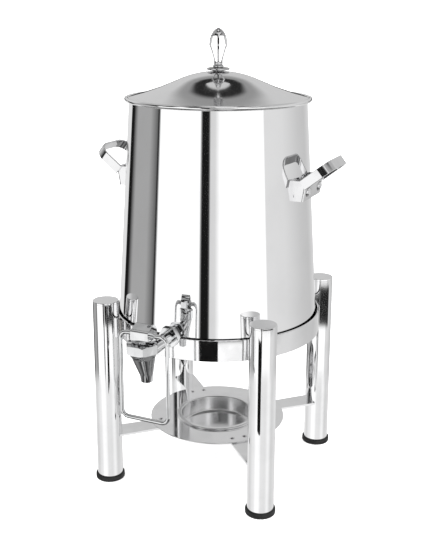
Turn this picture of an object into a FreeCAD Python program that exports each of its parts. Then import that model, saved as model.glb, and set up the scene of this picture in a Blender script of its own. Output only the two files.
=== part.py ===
import FreeCAD, Part
import os
import Sketcher

# A fuel-heated coffee urn on a stand of four round legs.  The frame has +Z up.
# The origin is on the floor, on the urn's axis; the faucet faces -Y and the
# two handles lie on +X and -X.  Every length is in millimetres.

DIMENSIONS = {
    # stand
    "leg_offset": 101.75,
    "leg_radius": 15.875,
    "leg_wall": 1.5,
    "leg_top": 233.5,
    "cap_thickness": 2.5,
    "cap_plug": 10.0,
    "plug_clearance": 0.1,
    "foot_radius": 17.9,
    "foot_flange": 6.5,
    "foot_length": 24.0,
    "edge_round": 1.0,
    "band_radius": 127.5,
    "band_wall": 2.0,
    "band_low": 185.0,
    "band_high": 210.5,
    "band_rounding": 0.5,
    "notch_radius": 9.3,
    "seat_radius": 113.0,
    "seat_thickness": 2.0,
    "weld_width": 9.0,
    "weld_height": 18.0,
    "weld_depth": 3.0,
    "weld_sink": 1.0,
    "plate_radius": 85.9,
    "plate_top": 62.7,
    "plate_thickness": 1.5,
    "plate_rounding": 0.5,
    "plate_hole": 47.2,
    "arm_thickness": 3.0,
    "arm_inner": 56.0,
    "arm_outer": 134.0,
    "arm_inner_width": 24.0,
    "arm_outer_width": 28.0,
    "rivet_distance": 74.0,
    "rivet_spacing": 16.0,
    "rivet_radius": 1.6,
    "rivet_head": 3.0,
    "rivet_dome": 1.2,
    "rivet_bend": 4.35,
    "well_radius": 45.8,
    "well_floor": 44.0,
    "well_wall": 0.8,
    "lip_radius": 52.0,
    "lip_height": 2.4,
    # urn
    "urn_low": 187.0,
    "urn_high": 466.0,
    "urn_low_radius": 124.6,
    "urn_high_radius": 106.3,
    "urn_wall": 1.0,
    "bottom_low": 190.0,
    "bottom_thickness": 1.2,
    "bottom_flange": 10.0,
    "mouth_height": 13.0,
    "mouth_wall": 1.2,
    "sheet_gap": 0.1,
    # handles
    "bracket_low": 360.0,
    "bracket_height": 23.5,
    "bracket_reach": 120.6,
    "bracket_root": 100.0,
    "bracket_half_width": 31.5,
    "bracket_wall": 1.5,
    "bracket_bend": 3.0,
    "bracket_lean": 0.162,
    "lean_angle": 9.2,
    "backing_half_width": 27.0,
    "backing_height": 19.0,
    "backing_wall": 2.0,
    "screw_height": 370.0,
    "screw_offset": 20.0,
    "screw_radius": 2.0,
    "screw_length": 9.0,
    "screw_head": 6.0,
    "screw_dome": 3.2,
    "handle_nut_corner": 4.0,
    "handle_nut_height": 3.0,
    "grip_root_x": 124.2,
    "grip_root_z": 383.1,
    "grip_angle": 38.0,
    "grip_reach": 34.6,
    "grip_tail": 6.0,
    "grip_wall": 2.5,
    "grip_width": 12.0,
    "grip_bend": 19.0,
    "grip_rounding": 0.5,
    # faucet
    "faucet_height": 213.0,
    "valve_distance": 192.0,
    "valve_back": 179.5,
    "valve_top": 228.0,
    "valve_shoulder": 218.0,
    "spout_radius": 13.3,
    "spout_top": 211.0,
    "outlet_radius": 7.4,
    "outlet_top": 188.0,
    "tip_radius": 6.8,
    "tip_low": 180.5,
    "hex_radius": 16.55,
    "hex_corner": 19.1,
    "bore_radius": 5.0,
    "outlet_radius_inside": 6.0,
    "chamber_radius": 9.0,
    "chamber_floor": 206.0,
    "barrel_radius": 8.0,
    "barrel_end": 136.3,
    "shank_radius": 7.0,
    "shank_bore": 4.5,
    "shank_inner_end": 106.0,
    "shank_socket": 10.0,
    "shank_hole": 7.3,
    "thread_clearance": 0.05,
    "nut_corner": 12.8,
    "nut_front": 135.8,
    "nut_back": 128.6,
    "washer_radius": 8.8,
    "washer_front": 128.6,
    "gasket_front": 125.4,
    "inner_nut_front": 116.6,
    "inner_nut_back": 110.6,
    "inner_washer_radius": 12.0,
    "inner_washer_front": 118.0,
    "bonnet_corner": 12.8,
    "bonnet_top": 231.2,
    "stem_radius": 3.0,
    "stem_low": 209.0,
    "stem_eye": 3.6,
    "stem_eye_length": 12.0,
    "seat_cup_radius": 7.5,
    "seat_cup_height": 6.0,
    "seat_cup_bevel": 1.0,
    "seat_gap": 0.1,
    "spring_radius": 5.0,
    "spring_wire": 0.6,
    "spring_low": 213.0,
    "spring_height": 14.0,
    "spring_pitch": 2.5,
    # lever
    "pivot_height": 235.8,
    "rod_radius": 2.4,
    "hoop_half_width": 28.5,
    "hoop_low": 137.0,
    "hoop_bend": 8.0,
    "hub_half_width": 10.5,
    "hub_front": 202.0,
    "hub_back": 181.0,
    "hub_low": 231.5,
    "hub_top": 247.0,
    "hub_shoulder": 8.5,
    "hub_shoulder_bend": 9.0,
    "hub_nose": 3.0,
    "hub_nose_high": 4.0,
    "hub_nose_low": 6.5,
    "fork_gap": 3.3,
    "fork_top": 241.5,
    "fork_swing": 8.0,
    "collar_radius": 4.3,
    "collar_width": 3.0,
    "set_screw_radius": 2.0,
    "set_screw_sink": 3.0,
    # lid
    "dome_top": 501.5,
    "dome_sheet": 0.9,
    "crown_edge": 50.0,
    "crown_height": 490.5,
    "crown_bend": 119.1,
    "flare_edge": 107.5,
    "flare_height": 471.0,
    "flare_bend": 286.2,
    "rim_radius": 108.9,
    "rim_bead": 2.7,
    "rim_height": 469.3,
    "skirt_radius": 103.2,
    "skirt_wall": 0.9,
    "skirt_low": 456.0,
    "skirt_flange": 107.4,
    # knob
    "neck_radius": 6.7,
    "disc_radius": 13.5,
    "disc_low": 502.5,
    "disc_high": 505.3,
    "collar_ring_radius": 6.5,
    "cage_low": 508.5,
    "cage_foot": 5.2,
    "cage_foot_top": 511.5,
    "cage_belly": 10.8,
    "cage_belly_height": 531.0,
    "cage_shoulder": 8.3,
    "cage_shoulder_height": 543.5,
    "cage_top": 551.5,
    "cage_tip_low": 542.0,
    "cage_tip_dip": 1.0,
    "cage_neck_bend": 60.0,
    "cage_belly_bend": 32.5,
    "cage_shoulder_bend": 14.5,
    "cage_wall": 2.4,
    "rib_width": 2.8,
    "rib_turn": 24.35,
    "stud_radius": 1.95,
    "stud_low": 492.0,
    "knob_nut_corner": 4.0,
    "knob_nut_height": 3.2,
    "knob_washer_radius": 7.0,
    "knob_washer_thickness": 1.0,
    "knob_washer_top": 500.35,
}


class Size:
    """A length: its value, and the expression that ties it to the sheet."""

    def __init__(self, value, text=None):
        self.value = float(value)
        self.text = text or repr(self.value)

    def joined(self, sign, other, value):
        return Size(value, f"({self.text} {sign} {as_size(other).text})")

    def __add__(self, other):
        return self.joined("+", other, self.value + as_size(other).value)

    def __sub__(self, other):
        return self.joined("-", other, self.value - as_size(other).value)

    def __mul__(self, other):
        return self.joined("*", other, self.value * as_size(other).value)

    def __truediv__(self, other):
        return self.joined("/", other, self.value / as_size(other).value)

    def __neg__(self):
        return Size(-self.value, f"(-1 * {self.text})")


def as_size(number):
    return number if isinstance(number, Size) else Size(number)


class Dims:
    """Each dimension by its alias."""

    def __getattr__(self, alias):
        return Size(DIMENSIONS[alias], f"dims.{alias}")


class Bend:
    """An arc to the next corner, turning left or right of the way there."""

    def __init__(self, radius, left=True):
        self.radius = as_size(radius)
        self.left = left


D = Dims()
LEG_DISTANCE = D.leg_offset * 2 ** 0.5
HEX_CHAMFER = 0.09   # part of a nut's corner radius
DISC_ROUNDING = 0.45   # part of a knob disc's thickness
BONNET_TURN = 30   # degrees that turn the bonnet's flats across the casting's
Z_AXIS = FreeCAD.Vector(0, 0, 1)
X_AXIS = FreeCAD.Vector(1, 0, 0)
Y_AXIS = FreeCAD.Vector(0, 1, 0)
SIDES = {"right": 0, "left": 180}
CORNERS = {
    "front_right": (1, -1, -45),
    "rear_right": (1, 1, 45),
    "rear_left": (-1, 1, 135),
    "front_left": (-1, -1, -135),
}

doc = FreeCAD.newDocument("coffee_urn")
sub_parts = []


# --- document helpers -------------------------------------------------------

def make_sheet():
    sheet = doc.addObject("Spreadsheet::Sheet", "dims")
    for row, (alias, value) in enumerate(DIMENSIONS.items(), start=1):
        sheet.set(f"A{row}", alias)
        sheet.set(f"B{row}", str(value))
        sheet.setAlias(f"B{row}", alias)
    doc.recompute()


def bind(item, name, size):
    item.setExpression(name, as_size(size).text)


def place(item, x=0, y=0, z=0, axis=Z_AXIS, angle=0):
    """Move an object, with its position tied to the sheet."""
    spot = [as_size(value) for value in (x, y, z)]
    base = FreeCAD.Vector(*[size.value for size in spot])
    item.Placement = FreeCAD.Placement(base, FreeCAD.Rotation(axis, angle))
    for letter, size in zip("xyz", spot):
        bind(item, f"Placement.Base.{letter}", size)
    return item


def finish(item, label):
    """Keep an object as a sub-part of the urn."""
    item.Label = label
    sub_parts.append(item)
    return item


def primitive(kind, name, **sizes):
    item = doc.addObject(f"Part::{kind}", name)
    for key, size in sizes.items():
        bind(item, key, size)
    return item


def boolean(kind, name, base, tool):
    item = doc.addObject(f"Part::{kind}", name)
    item.Base = base
    item.Tool = tool
    return item


def group(name, items):
    item = doc.addObject("Part::Compound", name)
    item.Links = items
    return item


def fuse(name, items):
    item = doc.addObject("Part::MultiFuse", name)
    item.Shapes = items
    return item


# --- sketch helpers ---------------------------------------------------------

def new_body(name):
    return doc.addObject("PartDesign::Body", name)


def new_sketch(body, plane, lift=0):
    """Sketch on one of the body's own origin planes, lifted along its normal."""
    sketch = body.newObject("Sketcher::SketchObject", f"{body.Name}_sketch")
    support = next(item for item in body.Origin.OriginFeatures if item.Role == plane)
    sketch.AttachmentSupport = [(support, "")]
    sketch.MapMode = "FlatFace"
    bind(sketch, "AttachmentOffset.Base.z", lift)
    return sketch


def pin(sketch, edge, end, spot):
    """Fix one end of an edge by its two coordinates."""
    for kind, size in zip(("DistanceX", "DistanceY"), spot):
        rule = Sketcher.Constraint(kind, -1, 1, edge, end, size.value)
        bind(sketch, f"Constraints[{sketch.addConstraint(rule)}]", size)


def add_edge(sketch, start, end, bend):
    """Add a line or an arc, and tell which of its ends is the start."""
    first = FreeCAD.Vector(start[0].value, start[1].value, 0)
    last = FreeCAD.Vector(end[0].value, end[1].value, 0)
    if bend is None:
        return sketch.addGeometry(Part.LineSegment(first, last)), 1, 2
    chord = last - first
    side = Z_AXIS.cross(chord).normalize() * (1 if bend.left else -1)
    depth = (bend.radius.value ** 2 - chord.Length ** 2 / 4) ** 0.5
    centre = first + chord * 0.5 + side * depth
    circle = Part.Circle(centre, Z_AXIS, bend.radius.value)
    ends = (first, last) if bend.left else (last, first)
    angles = [circle.parameter(point) for point in ends]
    edge = sketch.addGeometry(Part.ArcOfCircle(circle, *angles))
    rule = Sketcher.Constraint("Radius", edge, bend.radius.value)
    bind(sketch, f"Constraints[{sketch.addConstraint(rule)}]", bend.radius)
    return (edge, 1, 2) if bend.left else (edge, 2, 1)


def draw(sketch, corners):
    """Closed outline through the corners, each (x, y) or (x, y, Bend)."""
    spots = [(as_size(corner[0]), as_size(corner[1])) for corner in corners]
    edges = []
    for index, corner in enumerate(corners):
        bend = corner[2] if len(corner) > 2 else None
        following = spots[(index + 1) % len(spots)]
        edges.append(add_edge(sketch, spots[index], following, bend))
    for index, (edge, start, end) in enumerate(edges):
        after, after_start, _ = edges[(index + 1) % len(edges)]
        sketch.addConstraint(Sketcher.Constraint("Coincident", edge, end, after, after_start))
        pin(sketch, edge, start, spots[index])


def draw_circle(sketch, x, y, radius):
    spot = (as_size(x), as_size(y))
    size = as_size(radius)
    centre = FreeCAD.Vector(spot[0].value, spot[1].value, 0)
    edge = sketch.addGeometry(Part.Circle(centre, Z_AXIS, size.value))
    rule = Sketcher.Constraint("Radius", edge, size.value)
    bind(sketch, f"Constraints[{sketch.addConstraint(rule)}]", size)
    pin(sketch, edge, 3, spot)


def revolve(body, sketch):
    feature = body.newObject("PartDesign::Revolution", f"{body.Name}_turn")
    feature.Profile = sketch
    feature.ReferenceAxis = (sketch, ["V_Axis"])
    feature.Angle = 360
    return feature


def turned(name, corners):
    """Body of revolution about Z, from an outline of (radius, height)."""
    body = new_body(name)
    sketch = new_sketch(body, "XZ_Plane")
    draw(sketch, corners)
    revolve(body, sketch)
    return body


def pad(body, sketch, length, midplane=False, lean=None):
    """Pad a sketch; a lean slants the pad along X by that much per height."""
    feature = body.newObject("PartDesign::Pad", f"{body.Name}_pad")
    feature.Profile = sketch
    feature.Midplane = midplane
    bind(feature, "Length", length)
    if lean is not None:
        feature.UseCustomVector = True
        feature.AlongSketchNormal = True
        feature.Direction = FreeCAD.Vector(lean.value, 0, 1)
        bind(feature, "Direction.x", lean)
    return feature


def pocket(body, sketch, length, reverse=False):
    """Cut a sketch into the body and make sure that it takes material away."""
    doc.recompute()
    before = body.Shape.Volume
    feature = body.newObject("PartDesign::Pocket", f"{body.Name}_pocket")
    feature.Profile = sketch
    feature.Reversed = reverse
    bind(feature, "Length", length)
    doc.recompute()
    if body.Shape.Volume >= before:
        raise RuntimeError(f"{body.Name}: a pocket cuts nothing")
    return feature


def hex_blank(name, corner, height, hole):
    """Hexagon with chamfered corners and a round hole, standing on z = 0."""
    chamfer = corner * HEX_CHAMFER
    shape = turned(f"{name}_blank", [
        (hole, 0),
        (corner - chamfer, 0),
        (corner, chamfer / 2),
        (corner, height - chamfer / 2),
        (corner - chamfer, height),
        (hole, height),
    ])
    prism = primitive("Prism", f"{name}_prism", Circumradius=corner, Height=height)
    prism.Polygon = 6
    return boolean("Common", name, shape, prism)


def edge_round(radius, height):
    """Two corners that round an outer top edge of a turned piece."""
    bend = D.edge_round
    return [(radius, height - bend, Bend(bend)), (radius - bend, height)]


# --- stand ------------------------------------------------------------------

def make_legs():
    bore = D.leg_radius - D.leg_wall
    cap_low = D.leg_top - D.cap_thickness
    plug = bore - D.plug_clearance
    bend = D.edge_round
    for name, (side_x, side_y, _) in CORNERS.items():
        tube = turned(f"leg_tube_{name}", [
            (bore, D.foot_flange),
            (D.leg_radius, D.foot_flange),
            (D.leg_radius, cap_low),
            (bore, cap_low),
        ])
        cap = turned(f"leg_cap_{name}", [
            (0, D.leg_top - D.cap_plug),
            (plug, D.leg_top - D.cap_plug),
            (plug, cap_low),
            (D.leg_radius, cap_low),
            *edge_round(D.leg_radius, D.leg_top),
            (0, D.leg_top),
        ])
        foot = turned(f"foot_{name}", [
            (0, 0),
            (D.foot_radius - bend, 0, Bend(bend)),
            (D.foot_radius, bend),
            *edge_round(D.foot_radius, D.foot_flange),
            (plug, D.foot_flange),
            (plug, D.foot_length),
            (0, D.foot_length),
        ])
        for piece in (tube, cap, foot):
            place(piece, x=D.leg_offset * side_x, y=D.leg_offset * side_y)
            finish(piece, piece.Name)


def make_band():
    inner = D.band_radius - D.band_wall
    bend = D.band_rounding
    band = turned("support_band", [
        (inner, D.band_low),
        (D.band_radius - bend, D.band_low, Bend(bend)),
        (D.band_radius, D.band_low + bend),
        (D.band_radius, D.band_high - bend, Bend(bend)),
        (D.band_radius - bend, D.band_high),
        (inner, D.band_high),
    ])
    notch = new_sketch(band, "XZ_Plane")
    draw_circle(notch, 0, D.faucet_height, D.notch_radius)
    pocket(band, notch, D.band_radius + D.band_wall, reverse=True)
    finish(band, "support_band")

    seat = turned("seat_ring", [
        (D.seat_radius, D.urn_low - D.seat_thickness),
        (inner, D.urn_low - D.seat_thickness),
        (inner, D.urn_low),
        (D.seat_radius, D.urn_low),
    ])
    finish(seat, "seat_ring")


def make_welds():
    """Weld metal between the band and each leg."""
    welds = []
    middle = (D.band_low + D.band_high) / 2
    for name, (_, _, angle) in CORNERS.items():
        bar = primitive("Box", f"weld_bar_{name}", Length=D.weld_depth, Width=D.weld_width,
                        Height=D.weld_height)
        place(bar, D.band_radius - D.weld_sink, -D.weld_width / 2, middle - D.weld_height / 2)
        inside = primitive("Cylinder", f"weld_inside_{name}", Radius=D.band_radius,
                           Height=D.leg_top)
        leg = primitive("Cylinder", f"weld_leg_{name}", Radius=D.leg_radius, Height=D.leg_top)
        place(leg, LEG_DISTANCE)
        outer = boolean("Cut", f"weld_outer_{name}", bar, inside)
        weld = boolean("Cut", f"weld_{name}", outer, leg)
        welds.append(place(weld, axis=Z_AXIS, angle=angle))
    finish(group("band_welds", welds), "band_welds")


def make_arms():
    """Flat arms that carry the fuel plate, one from each leg."""
    top = D.plate_top - D.plate_thickness
    for name, (_, _, angle) in CORNERS.items():
        arm = new_body(f"cross_arm_{name}")
        plan = new_sketch(arm, "XY_Plane", top - D.arm_thickness)
        draw(plan, [
            (D.arm_inner, -D.arm_inner_width / 2),
            (D.arm_outer, -D.arm_outer_width / 2),
            (D.arm_outer, D.arm_outer_width / 2),
            (D.arm_inner, D.arm_inner_width / 2),
        ])
        pad(arm, plan, D.arm_thickness)
        bite = new_sketch(arm, "XY_Plane", top)
        draw_circle(bite, LEG_DISTANCE, 0, D.leg_radius)
        for side in (1, -1):
            draw_circle(bite, D.rivet_distance, D.rivet_spacing / 2 * side, D.rivet_radius)
        pocket(arm, bite, D.arm_thickness)
        place(arm, axis=Z_AXIS, angle=angle)
        finish(arm, arm.Name)


def rivet_spots():
    """Where each rivet stands: its centre, as two sheet lengths."""
    half = 0.5 ** 0.5
    spots = []
    for side_x, side_y, _ in CORNERS.values():
        for side in (1, -1):
            across = D.rivet_spacing / 2 * side
            x = (D.rivet_distance * side_x - across * side_y) * half
            y = (D.rivet_distance * side_y + across * side_x) * half
            spots.append((x, y))
    return spots


def make_fuel_plate():
    low = D.plate_top - D.plate_thickness
    bend = D.plate_rounding
    plate = turned("fuel_plate", [
        (D.plate_hole, low),
        (D.plate_radius - bend, low, Bend(bend)),
        (D.plate_radius, low + bend),
        (D.plate_radius, D.plate_top - bend, Bend(bend)),
        (D.plate_radius - bend, D.plate_top),
        (D.plate_hole, D.plate_top),
    ])
    holes = new_sketch(plate, "XY_Plane", D.plate_top)
    for x, y in rivet_spots():
        draw_circle(holes, x, y, D.rivet_radius)
    pocket(plate, holes, D.plate_thickness)
    finish(plate, "fuel_plate")

    arm_low = low - D.arm_thickness
    head = D.rivet_dome
    rivets = []
    for index, (x, y) in enumerate(rivet_spots()):
        rivet = turned(f"rivet_{index}", [
            (0, arm_low - head),
            (D.rivet_head, arm_low - head),
            (D.rivet_head, arm_low),
            (D.rivet_radius, arm_low),
            (D.rivet_radius, D.plate_top),
            (D.rivet_head, D.plate_top, Bend(D.rivet_bend)),
            (0, D.plate_top + head),
        ])
        rivets.append(place(rivet, x, y))
    finish(group("plate_rivets", rivets), "plate_rivets")


def make_well():
    """Cup that holds the can of fuel, hung in the plate by its lip."""
    wall = D.well_wall
    bend = D.lip_height / 2
    lip_top = D.plate_top + D.lip_height
    cup = turned("fuel_well_cup", [
        (0, D.well_floor - wall),
        (D.well_radius + wall, D.well_floor - wall),
        (D.well_radius + wall, D.plate_top),
        (D.lip_radius - bend, D.plate_top, Bend(bend)),
        (D.lip_radius, D.plate_top + bend, Bend(bend)),
        (D.lip_radius - bend, lip_top),
        (D.well_radius + bend, lip_top, Bend(bend)),
        (D.well_radius, D.plate_top + bend),
        (D.well_radius, D.well_floor),
        (0, D.well_floor),
    ])
    finish(cup, "fuel_well_cup")


# --- urn --------------------------------------------------------------------

def urn_radius(height):
    """Outer radius of the tapered urn at a height."""
    taper = (D.urn_low_radius - D.urn_high_radius) / (D.urn_high - D.urn_low)
    return D.urn_low_radius - (as_size(height) - D.urn_low) * taper


def urn_cone(name, inset=0):
    """Solid cone inside the urn's outer face, or inside its inner face."""
    cone = primitive("Cone", name, Radius1=D.urn_low_radius - inset,
                     Radius2=D.urn_high_radius - inset, Height=D.urn_high - D.urn_low)
    return place(cone, z=D.urn_low)


def make_urn():
    shell = turned("urn_shell", [
        (D.urn_low_radius - D.urn_wall, D.urn_low),
        (D.urn_low_radius, D.urn_low),
        (D.urn_high_radius, D.urn_high),
        (D.urn_high_radius - D.urn_wall, D.urn_high),
    ])
    hole = new_sketch(shell, "XZ_Plane")
    draw_circle(hole, 0, D.faucet_height, D.shank_hole)
    pocket(shell, hole, D.urn_low_radius, reverse=True)
    finish(shell, "urn_shell")

    inset = D.urn_wall + D.sheet_gap
    thick = D.bottom_thickness
    flange_top = D.bottom_low + D.bottom_flange
    bottom = turned("urn_bottom", [
        (0, D.bottom_low),
        (urn_radius(D.bottom_low) - inset, D.bottom_low),
        (urn_radius(flange_top) - inset, flange_top),
        (urn_radius(flange_top) - inset - thick, flange_top),
        (urn_radius(D.bottom_low) - inset - thick, D.bottom_low + thick),
        (0, D.bottom_low + thick),
    ])
    finish(bottom, "urn_bottom")

    mouth_low = D.urn_high - D.mouth_height
    mouth = turned("mouth_ring", [
        (urn_radius(mouth_low) - inset - D.mouth_wall, mouth_low),
        (urn_radius(mouth_low) - inset, mouth_low),
        (urn_radius(D.urn_high) - inset, D.urn_high),
        (urn_radius(D.urn_high) - inset - D.mouth_wall, D.urn_high),
    ])
    finish(mouth, "mouth_ring")


# --- handles ----------------------------------------------------------------

def channel_outline(half, reach, bend):
    """Corners of one side of the bracket's channel, from its root round to it."""
    return [
        (D.bracket_root, -half),
        (reach - bend, -half, Bend(bend)),
        (reach, -half + bend),
        (reach, half - bend, Bend(bend)),
        (reach - bend, half),
        (D.bracket_root, half),
    ]


def face_reach(height):
    """How far out the bracket's leaning face stands at a height."""
    return D.bracket_reach + (as_size(height) - D.bracket_low) * D.bracket_lean


def on_face(item, side, angle, height, depth=0):
    """Stand a piece square on the bracket's face, sunk into it by a depth."""
    drop = as_size(depth) * D.bracket_lean
    place(item, face_reach(height) - depth, D.screw_offset * side, height + drop, Y_AXIS, 90)
    bind(item, "Placement.Rotation.Angle", D.lean_angle + 90)
    return turn_side(item, angle)


def turn_side(item, angle):
    """Carry a piece of the right handle to its own side."""
    carrier = group(f"{item.Name}_side", [item])
    return place(carrier, axis=Z_AXIS, angle=angle)


def screw_holes(name, angle):
    holes = []
    for side in (1, -1):
        hole = primitive("Cylinder", f"{name}_hole", Radius=D.screw_radius + D.thread_clearance,
                         Height=D.screw_length * 2)
        holes.append(on_face(hole, side, angle, D.screw_height, D.screw_length))
    return group(f"{name}_holes", holes)


def make_bracket(name, angle):
    half = D.bracket_half_width
    wall = D.bracket_wall
    channel = new_body(f"channel_{name}")
    plan = new_sketch(channel, "XY_Plane", D.bracket_low)
    draw(plan, channel_outline(half, D.bracket_reach, D.bracket_bend))
    pad(channel, plan, D.bracket_height, lean=D.bracket_lean)
    core = new_body(f"channel_core_{name}")
    plan = new_sketch(core, "XY_Plane", D.bracket_low)
    draw(plan, channel_outline(half - wall, D.bracket_reach - wall, D.bracket_bend - wall))
    pad(core, plan, D.bracket_height, lean=D.bracket_lean)
    sheet = boolean("Cut", f"channel_sheet_{name}", channel, core)
    turned_sheet = turn_side(sheet, angle)
    cone = urn_cone(f"bracket_cone_{name}")
    fitted = boolean("Cut", f"bracket_fitted_{name}", turned_sheet, cone)
    holes = screw_holes(f"bracket_{name}", angle)
    bracket = boolean("Cut", f"handle_bracket_{name}", fitted, holes)
    finish(bracket, bracket.Name)


def make_backing(name, angle):
    """Plate behind the bracket's face that the screws pull on."""
    low = D.bracket_low + (D.bracket_height - D.backing_height) / 2
    front = face_reach(low) - D.bracket_wall
    plate = new_body(f"backing_plan_{name}")
    plan = new_sketch(plate, "XY_Plane", low)
    draw(plan, [
        (front - D.backing_wall, -D.backing_half_width),
        (front, -D.backing_half_width),
        (front, D.backing_half_width),
        (front - D.backing_wall, D.backing_half_width),
    ])
    pad(plate, plan, D.backing_height, lean=D.bracket_lean)
    backing = boolean("Cut", f"handle_backing_{name}", turn_side(plate, angle),
                      screw_holes(f"backing_{name}", angle))
    finish(backing, backing.Name)


def make_grip(name, angle):
    """Flat bar bent to a U, rising outwards from the bracket's top."""
    outer = D.bracket_half_width + D.grip_wall
    inner = D.bracket_half_width
    reach = D.grip_reach
    bend = D.grip_bend
    wall = D.grip_wall
    bar = new_body(f"grip_bar_{name}")
    plan = new_sketch(bar, "XY_Plane")
    draw(plan, [
        (-D.grip_tail, -outer),
        (reach - bend, -outer, Bend(bend)),
        (reach, -outer + bend),
        (reach, outer - bend, Bend(bend)),
        (reach - bend, outer),
        (-D.grip_tail, outer),
        (-D.grip_tail, inner),
        (reach - bend, inner, Bend(bend - wall, left=False)),
        (reach - wall, outer - bend),
        (reach - wall, -outer + bend, Bend(bend - wall, left=False)),
        (reach - bend, -inner),
        (-D.grip_tail, -inner),
    ])
    block = pad(bar, plan, D.grip_width, midplane=True)
    doc.recompute()
    rounding = bar.newObject("PartDesign::Fillet", f"{bar.Name}_rounding")
    rounding.Base = (block, [""])
    rounding.UseAllEdges = True
    bind(rounding, "Radius", D.grip_rounding)
    place(bar, D.grip_root_x, 0, D.grip_root_z, Y_AXIS, -D.grip_angle.value)
    bind(bar, "Placement.Rotation.Angle", -D.grip_angle)
    finish(turn_side(bar, angle), f"handle_grip_{name}")


def make_handle_fasteners(name, angle):
    screws = []
    nuts = []
    nut_depth = D.bracket_wall + D.backing_wall + D.handle_nut_height
    dome = D.screw_dome
    dome_bend = (D.screw_head * D.screw_head / dome + dome) / 2
    for side in (1, -1):
        screw = turned(f"screw_{name}", [
            (0, -D.screw_length),
            (D.screw_radius, -D.screw_length),
            (D.screw_radius, 0),
            (D.screw_head, 0, Bend(dome_bend)),
            (0, dome),
        ])
        screws.append(on_face(screw, side, angle, D.screw_height))
        nut = hex_blank(f"handle_nut_{name}", D.handle_nut_corner, D.handle_nut_height,
                        D.screw_radius + D.thread_clearance)
        nuts.append(on_face(nut, side, angle, D.screw_height, nut_depth))
    finish(group(f"handle_screws_{name}", screws), f"handle_screws_{name}")
    finish(group(f"handle_nuts_{name}", nuts), f"handle_nuts_{name}")


# --- faucet -----------------------------------------------------------------

def on_faucet_line(item, distance=0):
    """Lay a turned piece along the faucet's bore, its height running outwards."""
    return place(item, 0, -as_size(distance), D.faucet_height, X_AXIS, 90)


def ring_on_shank(name, radius, back, front):
    hole = D.shank_radius + D.thread_clearance
    ring = turned(name, [(hole, back), (radius, back), (radius, front), (hole, front)])
    return on_faucet_line(ring)


def make_shank():
    shank = turned("faucet_shank", [
        (D.shank_bore, D.shank_inner_end),
        (D.shank_radius, D.shank_inner_end),
        (D.shank_radius, D.barrel_end + D.shank_socket),
        (D.shank_bore, D.barrel_end + D.shank_socket),
    ])
    finish(on_faucet_line(shank), "faucet_shank")

    hole = D.shank_radius + D.thread_clearance
    nut = hex_blank("faucet_hex_nut", D.nut_corner, D.nut_front - D.nut_back, hole)
    finish(on_faucet_line(nut, D.nut_back), "faucet_hex_nut")
    inner = hex_blank("faucet_inner_nut", D.nut_corner, D.inner_nut_front - D.inner_nut_back, hole)
    finish(on_faucet_line(inner, D.inner_nut_back), "faucet_inner_nut")

    washer = ring_on_shank("faucet_washer", D.washer_radius, D.gasket_front, D.washer_front)
    finish(washer, "faucet_washer")
    inner_washer = ring_on_shank("faucet_inner_washer", D.inner_washer_radius,
                                 D.inner_nut_front, D.inner_washer_front)
    finish(inner_washer, "faucet_inner_washer")

    blank = ring_on_shank("gasket_blank", D.washer_radius, D.inner_washer_front, D.gasket_front)
    gasket = boolean("Cut", "faucet_gasket", blank, urn_cone("gasket_cone"))
    finish(gasket, "faucet_gasket")
    blank = ring_on_shank("inner_gasket_blank", D.inner_washer_radius,
                          D.inner_washer_front, D.gasket_front)
    inner_gasket = boolean("Common", "faucet_inner_gasket", blank,
                           urn_cone("inner_gasket_cone", D.urn_wall))
    finish(inner_gasket, "faucet_inner_gasket")


def loft_circle(name, radius, height, back):
    """Round section whose rear edge stands at a distance from the urn's axis."""
    circle = primitive("Circle", name, Radius=radius)
    return place(circle, 0, -(as_size(back) + radius), height)


def loft(name, sections):
    item = doc.addObject("Part::Loft", name)
    item.Sections = sections
    item.Solid = True
    item.Ruled = True
    return item


def make_valve():
    """Casting: hexagonal top with the valve chamber, tapered spout, side barrel."""
    back = D.valve_back
    profile = [
        (D.hex_radius, D.valve_shoulder),
        (D.spout_radius, D.spout_top),
        (D.outlet_radius, D.outlet_top),
        (D.tip_radius, D.tip_low),
    ]
    sections = [loft_circle(f"valve_ring_{index}", radius, height, back)
                for index, (radius, height) in enumerate(profile)]
    spout = loft("valve_spout", sections)
    barrel = primitive("Cylinder", "valve_barrel", Radius=D.barrel_radius,
                       Height=D.valve_distance - D.barrel_end)
    on_faucet_line(barrel, D.barrel_end)
    top = hex_blank("valve_hex", D.hex_corner, D.valve_top - D.valve_shoulder, D.stem_radius)
    place(top, 0, -(back + D.hex_radius), D.valve_shoulder)
    casting = fuse("valve_casting", [spout, top, barrel])

    chamber = primitive("Cylinder", "valve_chamber", Radius=D.chamber_radius,
                        Height=D.valve_top - D.chamber_floor)
    place(chamber, 0, -D.valve_distance, D.chamber_floor)
    tip_wall = D.tip_radius - D.bore_radius
    outlet_back = D.valve_distance - D.outlet_radius_inside
    outlet = loft("valve_outlet", [
        loft_circle("outlet_ring_top", D.outlet_radius_inside, D.chamber_floor, outlet_back),
        loft_circle("outlet_ring_tip", D.bore_radius, D.tip_low, back + tip_wall),
    ])
    passage = primitive("Cylinder", "valve_passage", Radius=D.shank_bore,
                        Height=D.valve_distance - D.barrel_end)
    on_faucet_line(passage, D.barrel_end)
    socket = primitive("Cylinder", "valve_socket", Radius=D.shank_radius + D.thread_clearance,
                       Height=D.shank_socket + D.thread_clearance)
    on_faucet_line(socket, D.barrel_end)
    hollow = fuse("valve_hollow", [chamber, outlet, passage, socket])
    finish(boolean("Cut", "faucet_body", casting, hollow), "faucet_body")

    bonnet = hex_blank("faucet_bonnet", D.bonnet_corner, D.bonnet_top - D.valve_top,
                       D.stem_radius + D.thread_clearance)
    place(bonnet, 0, -D.valve_distance, D.valve_top, Z_AXIS, BONNET_TURN)
    finish(bonnet, "faucet_bonnet")


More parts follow.
